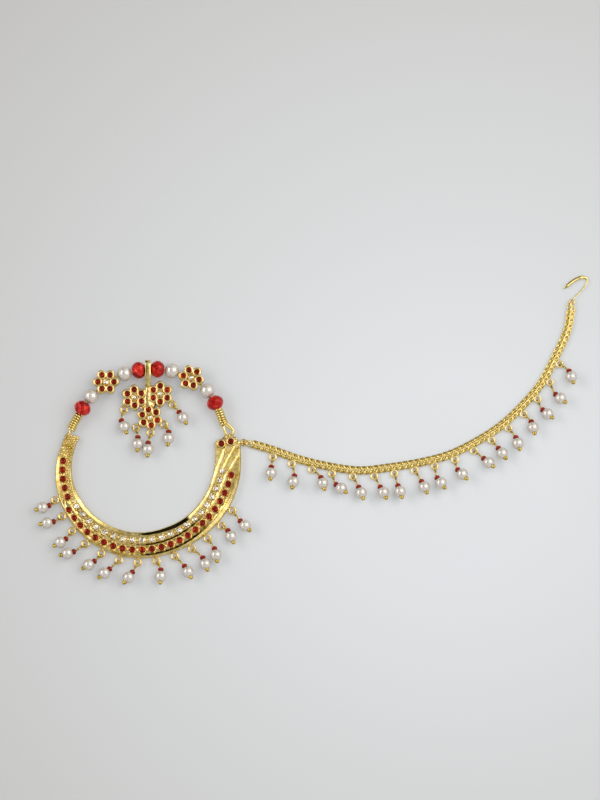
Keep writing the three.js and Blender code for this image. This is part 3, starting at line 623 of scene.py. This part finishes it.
def head_pin(shape, ring, pose, roll):
    """Wire of one drop: the eye round the ring, the pin through the beads, and its ball."""
    pearl_at, pin, seed_end, direction = pose
    caught = ring + heading(direction) * RING["radius"]
    pull = unit(seed_end - caught)
    near, far = caught - pull * EYE["hooked"], seed_end + pin * 0.15
    angles = lap(20)
    along = (1 - np.cos(angles)) / 2
    # the eye is round where it hooks the ring and narrows towards the stem
    width = EYE["half_width"] * np.sin(angles) * (1.2 - 0.75 * along)
    loop = placed(np.stack([width, along * EYE["length"], 0 * along], -1), near, frame_along(pull, roll))
    tube(shape, loop, EYE["wire"], 7, closed=True)
    stem_from = near + pull * (EYE["length"] - 0.2)
    tube(shape, [stem_from, (stem_from + far) / 2, far], EYE["stem"] * np.array((1, 0.9, 0.85)), 8)
    across = frame_along(pin)
    cap = [(0, -0.3), (0.7, -0.15), (0.78, 0.1), (0.55, 0.28), (0, 0.3)]  # at the pearl's far end
    lathe(shape, np.array(cap) + (0, 0.96 * DROP["pearl"]), pearl_at, across, 14)
    lathe(shape, sphere_profile(DROP["ball"], 8), pearl_at + pin * (DROP["tip"] - DROP["ball"]), across, 14)


def drop_beads(pearls, seeds, pose):
    pearl_at, pin, *_ = pose
    basis = frame_along(pin)
    lathe(pearls, sphere_profile(DROP["pearl"] * 0.975, 16, 0.25, 0.97), pearl_at, basis, 28, bored=True)
    half, r = 0.49 * (DROP["seed_back"] - 0.9 * DROP["pearl"]), DROP["seed"]
    bead = [(0.22, -half), (0.62 * r, -half), (0.93 * r, -0.6 * half), (r, 0.0), (0.93 * r, 0.6 * half),
            (0.62 * r, half), (0.22, half)]
    lathe(seeds, bead, pearl_at - pin * (DROP["seed_back"] - half), basis, 12, bored=True)


def jump_ring(shape, centre, direction, radius=RING["radius"], wire=RING["wire"]):
    tube(shape, ring_path(centre, radius, direction, 26), wire, 9, closed=True)


def cast_rings(shape, rings):
    """Rings for the drops, each on its small cast shank."""
    # the rings are kept out of the painted shade
    shape.stays_bright = True
    for row, centre, root in rings:
        jump_ring(shape, centre, hooked_side(centre, row, RISE["rim"]))
        out = unit(centre - root)
        path = [root - out * 0.3, root + out * 0.2, centre - out * RING["radius"] * 0.95]
        tube(shape, path, [0.42, 0.34, 0.26], 8, round_ends=True)


def outer_radius(angle):
    return look_up(SECTIONS, angle, 2)


def inner_radius(angle):
    return look_up(SECTIONS, angle, 1)


def rim_rings():
    out = []
    for i, row in enumerate(RIM_DROPS):
        angle = RIM_RING["first"] + RIM_RING["pitch"] * i
        edge = outer_radius(angle)
        out.append((row, polar(angle, edge + RIM_RING["offset"], RIM_RING["height"]),
                    polar(angle, edge - 0.3, RIM_RING["height"])))
    return out


def pendant_rings():
    out = []
    for row, (x, y, flower) in zip(PENDANT_DROPS, PENDANT_RINGS):
        centre = np.array((x, y, PENDANT_RING_HEIGHT))
        middle = np.array((*PENDANT_FLOWERS[flower][:2], PENDANT_RING_HEIGHT))
        out.append((row, centre, middle + unit(centre - middle) * 3.3))
    return out


CHAIN_LINE = Route(CHAIN_ROUTE, CHAIN["height"] / 2)


def chain_rings():
    """For each drop of the chain: its row, its ring's middle, and the direction away from the chain."""
    out = []
    for i, row in enumerate(CHAIN_DROPS):
        distance = CHAIN["first_ring"] + CHAIN["pitch"] * i
        across = np.cross(CHAIN_LINE.tangent(distance), UP)
        centre = CHAIN_LINE.point(distance) + across * CHAIN_RING["offset"]
        centre[2] = CHAIN_RING["height"]
        out.append((row, centre, across))
    return out


def drops(name, rings, rise, roll):
    pins, pearls, seeds = Shape(), Shape(), Shape()
    for row, centre, _ in rings:
        pose = drop_pose(centre, row, rise)
        head_pin(pins, centre, pose, roll)
        drop_beads(pearls, seeds, pose)
    nodes = [f"{name}_{i + 1}" for i in range(len(rings))]
    pins.make(f"{name}_pins", [PIN_GOLD], "gold")
    seeds.make(f"{name}_seed_beads", [SEED], "red_glass")
    pearls.make(f"{name}_pearls", [PEARL], "pearl", nodes)


# ---- crescent plate
# Lines along the plate, as (angle, radius).
RED_LINE = [(161, 24.9), *STONE_ROWS[0][2], (215, 29.45), *STONE_ROWS[1][2][1:], (371, 30.4)]
RIDGE_IN = [(161, 22.6), (186, 23.7), (196, 24.3), (208, 25.15), (220, 25.5), (240, 25.6), (272, 25.4),
            (284, 25.3), (298, 25.45), (310, 25.4), (319, 24.95), (328, 24.6), (339, 24.45), (348, 24.9),
            (355.6, 25.5), (361.5, 26.4), (371, 28.3)]
RIDGE_MID = [(213, 28.1), (232, 28.75), (256, 28.95), (290, 28.38), (315, 27.75), (332, 27.8), (344, 28.0),
             (350.5, 28.55), (354.4, 29.6), (358.8, 30.7), (361.5, 31.6)]
RIDGE_END = [(352, 26.5), (354.5, 27.2), (360.1, 28.4), (364.8, 29.9), (368, 31.1)]
LEFT_END, RIGHT_END = (206, 217), (336, 350)  # where the region of the two rows gives way to each end
DOUBLE_ROW = {"start": 215, "span": 135, "steps": 22}  # of its red stones
GRAIN_OF_LEFT_END = 0.85
MEAN_RADIUS = 28


def polished_line(distance):
    """Height of a polished line at a distance across it: a broad inner flank and a steep back."""
    return 0.34 * np.clip(np.minimum(1 + distance / 0.78, 1 - distance / 0.25), 0, 1)


def stripes(position, pitch):
    """0 in the middle of each groove and 1 between the grooves."""
    return np.abs(position / pitch % 1 - 0.5) * 2


def seams(xs, ys, size):
    """Rounded grains: 0 in the middle of each and about 1 in the seams between them."""
    out = []
    for x, y in zip(xs, ys):
        near = noise.voronoi(Vector((x / size, y / size, 0.0)))[0]
        out.append(near[0] / max(near[1], 1e-6))
    return np.array(out)


def knots(rows, radius):
    """Height at a radius from rows of (radius, height), where the rows may differ along the plate."""
    places, levels = (np.stack([np.broadcast_to(row[k], len(radius)) for row in rows]) for k in (0, 1))
    height = levels[0].copy()
    for i in range(len(rows) - 1):
        t = np.clip((radius - places[i]) / np.maximum(places[i + 1] - places[i], 1e-6), 0, 1)
        height += (levels[i + 1] - levels[i]) * t
    return height


def plate_top(angle, radius):
    """Height of the plate's face, how polished it is there, and how much painted shade and painted dark
    reflection it gets.
    """
    inner, outer = inner_radius(angle), outer_radius(angle)
    ridge_in, ridge_mid, ridge_end = (eased(rows, angle) for rows in (RIDGE_IN, RIDGE_MID, RIDGE_END))
    red = look_up(RED_LINE, angle)
    x, y = radius * np.cos(np.radians(angle)), radius * np.sin(np.radians(angle))
    along_edge = np.radians(angle) * MEAN_RADIUS
    left, right = 1 - fade(*LEFT_END, angle), fade(*RIGHT_END, angle)
    middle = 1 - left - right

    # single row of stones: grainy metal inside it, and a smooth slope outside it
    grain = seams(x, y, GRAIN_OF_LEFT_END)
    bevel = fade(181, 192, angle)
    lip = red + 1.15
    single = knots([(inner, 1.45 - 0.3 * bevel), (ridge_in, 1.95 + 0.1 * bevel), (ridge_in + 0.3, 1.85),
                    (red - 0.9, 1.8), (red + 0.9, 1.75), (lip, 2.05), (outer, 1.62)], radius)
    grainy = np.maximum(fade(180, 174, angle), fade(red - 0.75, red - 0.95, radius))
    grainy *= np.where(bevel > 0.5, fade(ridge_in + 0.1, ridge_in + 0.3, radius), 1)
    single += grainy * (0.28 - 0.55 * grain**2.5)
    # painted shade in the seams between the grains of the left end
    dark = left * grainy * 0.3 * fade(0.78, 1.0, grain)

    # two rows: polished inner bevel, shelf of the clear stones, scalloped line, bed of the red ones, rim
    step = (angle - DOUBLE_ROW["start"]) * DOUBLE_ROW["steps"] / DOUBLE_ROW["span"]
    wave = np.sin(step * 2 * math.pi)
    crest = ridge_mid + 0.06 * wave
    rim = np.minimum(red + 2.02, outer - 0.55)
    edge = inner + 0.14
    fall = 0.59 * (ridge_in - edge)
    double = knots([(inner, 2.04 - fall), (edge, 2.08 - fall), (ridge_in, 2.08), (ridge_in + 0.2, 1.84),
                    (crest - 0.74, 1.74), (crest, 2.16 + 0.03 * wave), (crest + 0.2, 1.8), (rim - 0.82, 1.76),
                    (rim, 2.22), (outer - 0.25, 1.95), (outer, 1.45)], radius)
    # painted shade in the notches between the stones and a little on the slopes below the crest and the rim;
    # across the bottom (shaded) those slopes get a painted dark reflection
    notch = fade(0.2, 0.0, np.abs(step % 1 - 0.5)) * fade(0.3, 0.1, np.abs(radius - crest - 0.35))
    shaded = fade(268, 276, angle) * fade(321, 315, angle)
    slopes = [fade(top - width, top - width + 0.12, radius) * fade(top, top - 0.08, radius)
              for top, width in ((crest, 0.74), (rim, 0.8))]
    dark += middle * np.maximum(0.7 * notch, (0.14 + 0.8 * shaded) * np.maximum(*slopes))

    # sanded end: crossed by polished lines, hatched inside and feathered outside
    end = knots([(inner, 1.5), (ridge_in - 0.75, 1.78), (ridge_in, 2.12), (ridge_in + 0.25, 1.84),
                 (outer - 0.6, 1.88), (outer, 1.62)], radius)
    hatch = stripes(along_edge * 0.75 + radius, 0.6)
    hatched = fade(345, 351, angle) * fade(ridge_in - 0.7, ridge_in - 0.95, radius)
    end += hatched * 0.2 * (hatch - 0.4)
    spine, vanes_from = outer - 1.0, np.maximum(ridge_mid, 29.9) + 0.35
    vane = stripes(along_edge + 0.9 * np.abs(radius - spine), 0.66)
    feathered = (fade(330, 338, angle) * fade(vanes_from, vanes_from + 0.35, radius)
                 * fade(370.5, 369.5, angle))
    feather = 0.32 * (vane - 0.45) - 0.12 * fade(0.2, 0.0, np.abs(radius - spine))
    # painted shade in the grooves of the hatching and of the feathers
    dark += right * hatched * 0.4 * fade(0.4, 0.0, hatch) + feathered * 0.65 * fade(0.42, 0.05, vane)
    end_here, mid_here = fade(351, 354, angle) * fade(370, 367.5, angle), fade(364, 361, angle)
    end += polished_line(radius - ridge_end) * end_here + polished_line(radius - ridge_mid) * mid_here
    polish_end = 0.7 * fade(outer - 0.7, outer - 0.5, radius)
    # painted shade just behind each polished line
    for line, here in ((ridge_end, end_here), (ridge_mid, mid_here), (ridge_in, 1.0)):
        dark += right * here * 0.6 * fade(0.22, 0.3, radius - line) * fade(0.52, 0.4, radius - line)
        polish_end = np.maximum(polish_end, 0.7 * fade(0.56, 0.46, np.abs(radius - line + 0.28)) * here)
    pit = np.hypot(x - END_PIT[0], y - END_PIT[1])
    end -= 0.9 * fade(0.62, 0.3, pit)
    # painted shade in the pit, the sanded end a little darker all over, and a painted dark reflection on the
    # left end's outer slope
    dark += fade(0.6, 0.4, pit) + 0.16 * right + 0.18 * left * fade(lip - 0.3, lip, radius)

    rounding = 0.3 * fade(0.28, 0.0, outer - radius) ** 2 + 0.25 * fade(0.25, 0.0, radius - inner) ** 2
    height = left * single + middle * double + right * end + feathered * feather - rounding
    polish = (left * (0.5 - grainy * 0.25) + middle * (1 - 0.6 * fade(rim - 0.1, rim + 0.2, radius))
              + right * polish_end)
    return height, np.clip(polish, 0, 1), np.clip(dark, 0, 1)


def crescent():
    steps, columns = 860, 66
    angles = np.linspace(SECTIONS[0][0], SECTIONS[-1][0], steps)
    angle = np.repeat(angles[:, None], columns, 1)
    inner, outer = inner_radius(angles)[:, None], outer_radius(angles)[:, None]
    radius = inner + (outer - inner) * np.linspace(0, 1, columns)
    height, polish, dark = (v.reshape(steps, columns) for v in plate_top(angle.ravel(), radius.ravel()))
    around = np.stack([np.cos(np.radians(angle)), np.sin(np.radians(angle))], -1)
    top = np.concatenate([radius[..., None] * around, height[..., None]], -1)
    walls = []
    for column, edge, outward in ((-1, outer, 1), (0, inner, -1)):
        rows = [np.concatenate([(edge + outward * push) * around[:, column], top[:, column, 2:] * level], -1)
                for level, push in ((0.75, 0.02), (0.35, 0.03), (0.08, 0.0), (0.0, -0.12))]
        walls.append(np.stack(rows, 1))
    rings = np.concatenate([top, walls[0], walls[1][:, ::-1]], 1)
    shape = Shape()
    loft(shape, rings)
    mesh = shape.make("crescent_metal", [PLATE_GOLD], "gold", ["crescent_plate"]).data
    # polish sets the roughness; the second mark carries the painted shade and painted dark reflection
    for name, values, elsewhere in (("polish", polish, 0.5), ("painted_dark", dark, 0.0)):
        marks = np.full(len(mesh.vertices), elsewhere)
        marks[:rings.shape[0] * rings.shape[1]].reshape(steps, -1)[:, :columns] = values
        mark(mesh, name, marks)


def bead_between(shape, one, other, long, wide, top):
    """Oval bead of metal between two neighbouring stones, long across the row."""
    half_height, side = 0.55, unit(other - one)
    basis = np.array([np.cross(side, UP) * long, UP * half_height, side * wide]).T
    lathe(shape, sphere_profile(1.0, 8), (one + other) / 2 + UP * (top - half_height), basis, 12)


def end_gallery(metal):
    """Raised field round the two end stones, with the lumps of its casting."""
    outline = loop_through(END_FIELD, 6)
    middle = outline.mean(axis=0)
    inward = middle - outline
    inward /= np.linalg.norm(inward, axis=1)[:, None]
    rings = [np.column_stack([outline + inward * pull, np.full(len(outline), z)])
             for pull, z in ((1.3, 1.72), (0.5, 1.68), (0.16, 1.5), (0.0, 1.15), (0.0, 0.4), (0.3, 0.15))]
    loft(metal, rings, tips=((*middle, 1.7), (*middle, 0.15)))
    for x, y, radius in END_LUMPS:
        lump(metal, (x, y, 1.62), radius, stretch=0.7)


def plate_details():
    """Settings, stones, cast rings and eyes of the crescent."""
    metal, stones, number = Shape(), {"red": Shape(), "clear": Shape()}, 0
    for kind, count, line in STONE_ROWS:
        setting, before = SETTINGS[kind], None
        for angle in np.linspace(line[0][0], line[-1][0], count):
            number += 1
            place = polar(angle, look_up(line, angle))
            if before is not None:
                bead_between(metal, before, place, *setting["bead"])
            before = place
            collar(metal, place, *setting["collar"], setting["uneven"], number)
            gem(stones[kind], place, *setting["stone"], angle + setting["turn"] * number)
            if kind == "clear":  # grains of metal pushed over the stone's edge
                for side in (-135, -45, 45, 135):
                    grain_at = place + polar(angle + side, GRAIN["from_stone"], GRAIN["height"])
                    lump(metal, grain_at, GRAIN["radius"], sides=8)
    for i, place in enumerate(END_STONES):
        collar(metal, place, *END_SETTING["collar"], END_SETTING["uneven"], 90 + i)
        gem(stones["red"], place, *END_SETTING["stone"], 20 * i)
    end_gallery(metal)
    for angle, distance, radius in LEFT_LUMPS:
        lump(metal, polar(angle, distance, 1.35), radius, 8, 12, 0.8)
    lump(metal, END_BOSS, 0.52, 8, 14)
    tube(metal, CHAIN_LUG, [0.7, 0.5, 0.34], 10, round_ends=True)
    cast_rings(metal, rim_rings())
    for x, y, z, towards, radius in END_EYES:
        basis = frame_along(heading(towards)) @ np.array([[0, 0, 1.0], [0, 1.0, 0], [-1.0, 0, 0]])
        tube(metal, ring_path((x, y, z), radius, basis=basis), 0.24, 9, closed=True)
    # the low parts of the settings get painted shade
    metal.make("crescent_settings", [CAST_GOLD], "gold", shade_heights=(1.0, 2.0))
    make_stones("crescent", **stones)


# ---- beaded wire
HOOP_WIRE = Route(WIRE_ROUTE)


def thread_places():
    distance, before, out = THREAD_START, None, []
    for kind in THREADED:
        if before:
            distance += (THREAD_LENGTH[before] + THREAD_LENGTH[kind]) / 2 + BEAD_GAP
        before = kind
        out.append((kind, distance))
    return out


def wound(shape, distance):
    """Binding wound round the hoop's wire, over a core in dark gold that paints the shade between the turns.
    """
    start, end = distance - COIL["length"] / 2, distance + COIL["length"] / 2
    count = int(COIL["turns"] * 14)
    middle = COIL["radius"] - COIL["wire"]
    path = []
    for i in range(count + 1):
        at = start + (end - start) * i / count
        turn = 2 * math.pi * COIL["turns"] * i / count
        around = np.array((middle * math.cos(turn), 0, middle * math.sin(turn)))
        path.append(HOOP_WIRE.point(at) + HOOP_WIRE.basis(at) @ around)
    tube(shape, path, COIL["wire"], 8, round_ends=True)
    tube(shape, HOOP_WIRE.point(np.linspace(start, end, 12)), COIL["core"], 12, skin=1)


def hoop_wire():
    shape = Shape()
    places = thread_places()
    along = np.arange(0, HOOP_WIRE.length - 6.0, 0.35)
    radius = np.where(along < 3, WIRE["left_end"], WIRE["radius"])
    tube(shape, HOOP_WIRE.point(along), radius, 12, round_ends=True)
    hook = loop_through(HOOK_LOOP_ROUTE, 8)
    thick = np.interp(np.arange(len(hook)), [0, 8, 28, 44, len(hook)], [0.36, 0.48, 0.5, 0.44, 0.4])
    tube(shape, hook, thick, 10, closed=True)
    reach = THREAD_LENGTH["rondelle"] / 2 + BEAD_GAP + COIL["length"] / 2
    wound(shape, places[0][1] - reach)
    wound(shape, places[-1][1] + reach)
    shape.make("hoop_wire_wound", [WIRE_GOLD, CORE_SHADE_GOLD], "gold", ["hoop_wire"])


def rondelle(shape, distance):
    """Faceted bead: triangular facets between staggered rings, round a bore."""
    n, rows = RONDELLE["folds"], RONDELLE["rows"]
    rings = []
    for number, (along, radius) in enumerate(rows):
        angles = lap(n, 0.5 * (min(max(number, 1), len(rows) - 2) % 2))
        rings.append(np.stack([radius * np.sin(angles), np.full(n, along), radius * np.cos(angles)], -1))
    points = placed(np.vstack(rings), HOOP_WIRE.point(distance), HOOP_WIRE.basis(distance, 9))
    k = np.arange(n)
    after = (k + 1) % n
    tris = []
    for row in range(1, len(rows) - 2):
        near, far = row * n, (row + 1) * n
        if row % 2:  # this ring is half a step ahead of the next
            tris += [corners(near + k, far + after, far + k), corners(near + k, near + after, far + after)]
        else:
            tris += [corners(near + k, near + after, far + k), corners(far + k, near + after, far + after)]
    last = (len(rows) - 1) * n
    quads = [corners(k, after, n + after, n + k), corners(last + k, last + after, after, k),
             corners(last - n + k, last - n + after, last + after, last + k)]
    shape.add(points, tris + quads, smooth=False)


def petal(metal, place, direction, base, crown):
    """Collar round a stone, drawn out to a soft point on its outer side."""
    angles = lap(28)
    point = 0.14 * np.clip(np.cos(angles), 0, 1) ** 6
    profile = [  # radius, height, share of the point
        (1.45, base + 0.05, 1), (1.58, crown - 0.9, 1), (1.52, crown - 0.4, 1), (1.34, crown - 0.12, 0.7),
        (1.06, crown - 0.08, 0), (0.87, crown - 0.3, 0), (0.85, base + 0.4, 0)]
    loft(metal, [level_ring(*place[:2], radius * (1 + point * share), angles + math.radians(direction), z)
                 for radius, z, share in profile], closed=True)


def blossom(metal, red, clear, x, y, base, turn):
    """Flower of six stones in petal collars round a clear one."""
    crown, centre = base + FLOWER["crown"], np.array((x, y, 0.0))
    plate = [(0, base), (3.0, base), (3.1, base + 0.5), (2.9, crown - 0.75), (0, crown - 0.7)]
    lathe(metal, plate, centre, UPRIGHT, 36)
    for i in range(FLOWER["stones"]):
        direction = turn + 360 / FLOWER["stones"] * i
        place = centre + heading(direction) * FLOWER["circle"]
        petal(metal, place, direction, base, crown)
        gem(red, place, 0.91, crown - 0.66, 0.44, direction)
    collar(metal, centre, 0.84, 1.14, crown - 1.0, crown - 0.2)
    gem(clear, centre, 0.9, crown - 0.66, 0.5, turn)


def threaded():
    counts = {"rondelle": 0, "pearl": 0, "flower": 0}
    for kind, distance in thread_places():
        if kind == "bail":
            continue
        counts[kind] += 1
        number, shape, at = counts[kind], Shape(), HOOP_WIRE.point(distance)
        if kind == "rondelle":
            rondelle(shape, distance)
            shape.make(f"rondelle_{number}", [RED_GLASS], "red_glass", [f"red_rondelle_{number}"])
        elif kind == "pearl":
            profile = sphere_profile(WIRE_PEARL, 22, 0.6, 0.96)
            lathe(shape, profile, at, HOOP_WIRE.basis(distance), 40, bored=True)
            shape.make(f"strung_pearl_{number}", [PEARL], "pearl", [f"wire_pearl_{number}"])
        else:
            red, clear, base = Shape(), Shape(), at[2] - FLOWER["thickness"] / 2
            blossom(shape, red, clear, *at[:2], base, WIRE_FLOWER_TURNS[number - 1])
            # painted shade low between the petals
            shape.make(f"strung_flower_{number}", [CAST_GOLD], "gold", [f"wire_flower_{number}"], (3.0, 4.2))
            make_stones(f"strung_flower_{number}", red, clear, "")


# ---- pendant
def bail_strap(metal):
    """Polished strap bent round the wire."""
    x, y, z = HOOP_WIRE.point(dict(thread_places())["bail"])
    cos_tilt, sin_tilt, _ = heading(BAIL["tilt"])
    half_length, half_height = ((BAIL[side] - BAIL["thickness"]) / 2 for side in ("length", "height"))
    section = [(-1, -0.6), (-0.8, -1), (0.8, -1), (1, -0.6), (1, 0.6), (0.8, 1), (-0.8, 1), (-1, 0.6)]
    rings = []
    for a in lap(48):
        middle = np.array((half_length * math.cos(a), half_height * math.sin(a)))
        out = unit(np.array((math.cos(a) / half_length, math.sin(a) / half_height)))
        ring = []
        for across, thick in section:
            u, v = middle + out * thick * BAIL["thickness"] / 2
            ring.append((x + across * BAIL["width"] / 2, y + BAIL["shift"] + u * cos_tilt - v * sin_tilt,
                         z + u * sin_tilt + v * cos_tilt))
        rings.append(ring)
    loft(metal, rings, closed=True)


def pendant():
    metal, red, clear, strap = Shape(), Shape(), Shape(), Shape()
    for x, y, turn in PENDANT_FLOWERS:
        blossom(metal, red, clear, x, y, 0.0, turn)
    lathe(metal, [(0, 0.02), (2.6, 0.02), (2.7, 0.8), (2.3, 1.55), (0, 1.7)], PENDANT_HUB, UPRIGHT, 24)
    stem = catmull(PENDANT_STEM, 6)
    tube(metal, stem, np.linspace(1.5, 0.9, len(stem)), 18, flat=0.45, round_ends=True)
    for x, y, radius in PENDANT_LUMPS:
        lump(metal, (x, y, 1.8), radius)
    cast_rings(metal, pendant_rings())
    # painted shade low between the petals
    metal.make("pendant_flowers", [CAST_GOLD], "gold", ["pendant"], (0.6, 2.0))
    bail_strap(strap)
    strap.make("pendant_bail", [BAIL_GOLD], "gold")
    make_stones("pendant", red, clear)


# ---- chain and ear hook
def chain_links():
    """Two rows of curb links, leaning against each other and half a link apart, over a filling; the filling
    and the low parts of the links get painted shade.
    """
    links, length = Shape(), CHAIN_LINE.length
    sine, cosine = np.sin(lap(20)), np.cos(lap(20))
    across = LINK["across"] * np.sign(sine) * np.abs(sine) ** 0.9
    roll = np.radians(LINK["tilt"] + LINK["twist"] * cosine)
    link = np.stack([LINK["row"] + across * np.cos(roll), LINK["along"] * cosine, across * np.sin(roll)], -1)
    for i in range(2 * LINK["count"]):
        distance = (i + 0.75) * length / (2 * LINK["count"])
        centre = CHAIN_LINE.point(distance) * (1, 1, 0) + UP * LINK["height"]
        row = placed(link * (1 - 2 * (i % 2), 1, 1), centre, CHAIN_LINE.basis(distance))
        tube(links, row, LINK["wire"], 7, closed=True)
    pitch, bed = length / LINK["count"], []
    for distance in np.arange(0.9, length - 0.8, pitch / 8):
        middle = BED["height"] + BED["ripple"] * math.cos(4 * math.pi * distance / pitch)
        ring = np.stack([BED["half_width"] * np.cos(lap(12)), np.zeros(12),
                         middle + BED["half_height"] * np.sin(lap(12))], -1)
        centre = CHAIN_LINE.point(distance) * (1, 1, 0)
        bed.append(placed(ring, centre, CHAIN_LINE.basis(distance)))
    loft(links, bed)
    links.make("chain_links", [CHAIN_GOLD], "gold", ["chain"], (-0.3, 0.55))


def chain():
    chain_links()
    rings, loose, eyes = Shape(), Shape(), Shape()
    for row, centre, out in chain_rings():
        side = hooked_side(centre, row, RISE["chain"])
        jump_ring(rings, centre + out * 0.18, side, radius=1.02, wire=0.37)
    rings.make("chain_drop_rings", [PALE_GOLD], "gold")
    jump_ring(loose, (*CHAIN_RING_AT, 1.0), 0, radius=0.9, wire=0.34)
    lathe(loose, sphere_profile(0.55, 8), CHAIN_RING_SOLDER, UPRIGHT, 12, skin=1)
    loose.make("chain_end_ring", [WIRE_GOLD, PIN_GOLD], "gold", ["chain_ring"])
    for x, y, z, towards in CHAIN_END_LINKS:
        path = ring_path((x, y, z), 0.55, count=20, basis=frame_along(heading(towards), 50), long=1.8)
        tube(eyes, path, 0.26, 8, closed=True)
    eyes.make("chain_end_links", [WIRE_GOLD], "gold")


def ear_hook():
    """Wire hook that is flattened along its back."""
    shape = Shape()
    line = Route(HOOK_ROUTE, 0.5)
    share = np.linspace(0, 1, 60)
    width = np.interp(share, [0, 0.4, 0.52, 0.62, 0.93, 1.0], [0.22, 0.22, 0.42, 0.62, 0.55, 0.24])
    tube(shape, line.point(share * line.length), width, 12, flat=0.6, round_ends=True)
    jump_ring(shape, HOOK_LOOP, 90, radius=0.75, wire=0.24)
    shape.make("ear_hook_wire", [CHAIN_GOLD], "gold", ["ear_hook"])


crescent()
plate_details()
hoop_wire()
threaded()
pendant()
drops("rim_drop", rim_rings(), RISE["rim"], 35)
drops("pendant_drop", pendant_rings(), RISE["rim"], 35)
drops("chain_drop", chain_rings(), RISE["chain"], 45)
chain()
ear_hook()

# ---- floor, light and camera
# FLOOR's tone and edge colours make a painted pool of light: bright round the middle, darker further out.
FLOOR = {"size": 8.0, "middle": (0.044, -0.015, 0), "near": 0.035, "far": 0.25,  # metres
         "tone": (0.482, 0.492, 0.497), "edge": (0.327, 0.319, 0.303)}
WINDOWS = [  # name, place, size, watts
    ("left_window", (-0.747, 0.138, 0.65), (0.86, 0.36), 2.6),
    ("right_window", (0.6, 0.2, 0.775), (1.0, 1.05), 6.2),
]
DARK_SPOTS = [  # azimuth, rise, outer and inner edge as cosines, light left
    (115, 0.374, 0.915, 0.935, 0.02), (175, 2.6, 0.955, 0.975, 0.25)]
PANES = [(50, 12, 0.30, 0.46, 2.0), (156, 15, 0.36, 0.72, 2.2)]  # azimuth, half width, bottom, top, strength
PANE_EDGE = 0.03
CAMERA = {"distance": 3.0, "elevation": 80, "target": (-0.0039, 0.0101, 0.001), "view_height": 0.264}


def floor():
    bpy.ops.mesh.primitive_plane_add(size=FLOOR["size"], location=(0, 0, 0))
    plane = bpy.context.object
    plane.name = "floor"
    # The paper gives off light of its own, painted light that lifts the shadows, and its colour falls from
    # the middle to a darker edge, a painted pool of light.
    skin = Skin("floor_paper", Roughness=0.75, Specular_IOR_Level=0.2, Emission_Strength=0.5)
    away = maths(skin.tree, "DISTANCE", skin.place, FLOOR["middle"], "ShaderNodeVectorMath")
    far = remap(skin.tree, away, FLOOR["near"], FLOOR["far"])
    tone = skin.ramp(far, [(0.0, FLOOR["tone"]), (1.0, FLOOR["edge"])])
    plane.data.materials.append(skin.finished(Base_Color=tone, Emission_Color=tone))


def aim(thing, place, target):
    """Put a light or a camera in the scene, pointing at the target."""
    SCENE.collection.objects.link(thing)
    thing.location = place
    thing.rotation_euler = (Vector(target) - Vector(place)).to_track_quat("-Z", "Y").to_euler()


def windows():
    for name, place, size, watts in WINDOWS:
        data = bpy.data.lights.new(name, "AREA")
        data.shape = "RECTANGLE"
        data.size, data.size_y = size
        data.energy = watts
        light = bpy.data.objects.new(name, data)
        aim(light, place, (0, 0, 0))
        light.visible_camera = False


def surroundings():
    """Pale room with two dark places and two bright panes behind, which the polished metal picks up."""
    world = bpy.data.worlds.new("room")
    SCENE.world = world
    world.use_nodes = True
    tree = world.node_tree
    direction = node_of(tree, "ShaderNodeTexCoord").outputs["Generated"]
    height = node_of(tree, "ShaderNodeSeparateXYZ", {"Vector": direction}).outputs["Z"]
    patches = node_of(tree, "ShaderNodeTexNoise", {"Vector": direction, "Scale": 2.4, "Detail": 1.0})
    room = remap(tree, patches.outputs["Fac"], 0.38, 0.6, 0.1, 1.05)
    level = remap(tree, remap(tree, height, 0.45, 0.65), low=room, high=0.5)  # an even ceiling overhead
    for azimuth, rise, outer, inner, least in DARK_SPOTS:
        towards = Vector(polar(azimuth, 1, rise)).normalized()
        dot = maths(tree, "DOT_PRODUCT", direction, towards, "ShaderNodeVectorMath")
        level = maths(tree, "MULTIPLY", level, remap(tree, dot, outer, inner, 1.0, least))
    for azimuth, half, low, high, strength in PANES:
        ends = math.cos(math.radians(half)) * math.sqrt(1 - ((low + high) / 2) ** 2)
        along = maths(tree, "DOT_PRODUCT", direction, Vector(heading(azimuth)), "ShaderNodeVectorMath")
        pane = strength
        for value, outside, inside in ((along, -PANE_EDGE, ends), (height, -PANE_EDGE, low),
                                       (height, PANE_EDGE, high)):
            pane = maths(tree, "MULTIPLY", pane, remap(tree, value, inside + outside, inside))
        level = maths(tree, "MAXIMUM", level, pane)
    background = tree.nodes["Background"]
    background.inputs["Color"].default_value = (0.97, 0.98, 1.0, 1)
    tree.links.new(level, background.inputs["Strength"])


def camera():
    data = bpy.data.cameras.new("camera")
    data.sensor_width = 36
    data.lens = data.sensor_width * CAMERA["distance"] / CAMERA["view_height"]
    data.clip_start, data.clip_end = 0.01, 20
    view = bpy.data.objects.new("camera", data)
    elevation = math.radians(CAMERA["elevation"])
    target = Vector(CAMERA["target"])
    aim(view, target + Vector((0, -math.cos(elevation), math.sin(elevation))) * CAMERA["distance"], target)
    SCENE.camera = view


SCENE.view_settings.view_transform = "Standard"
floor()
windows()
surroundings()
camera()
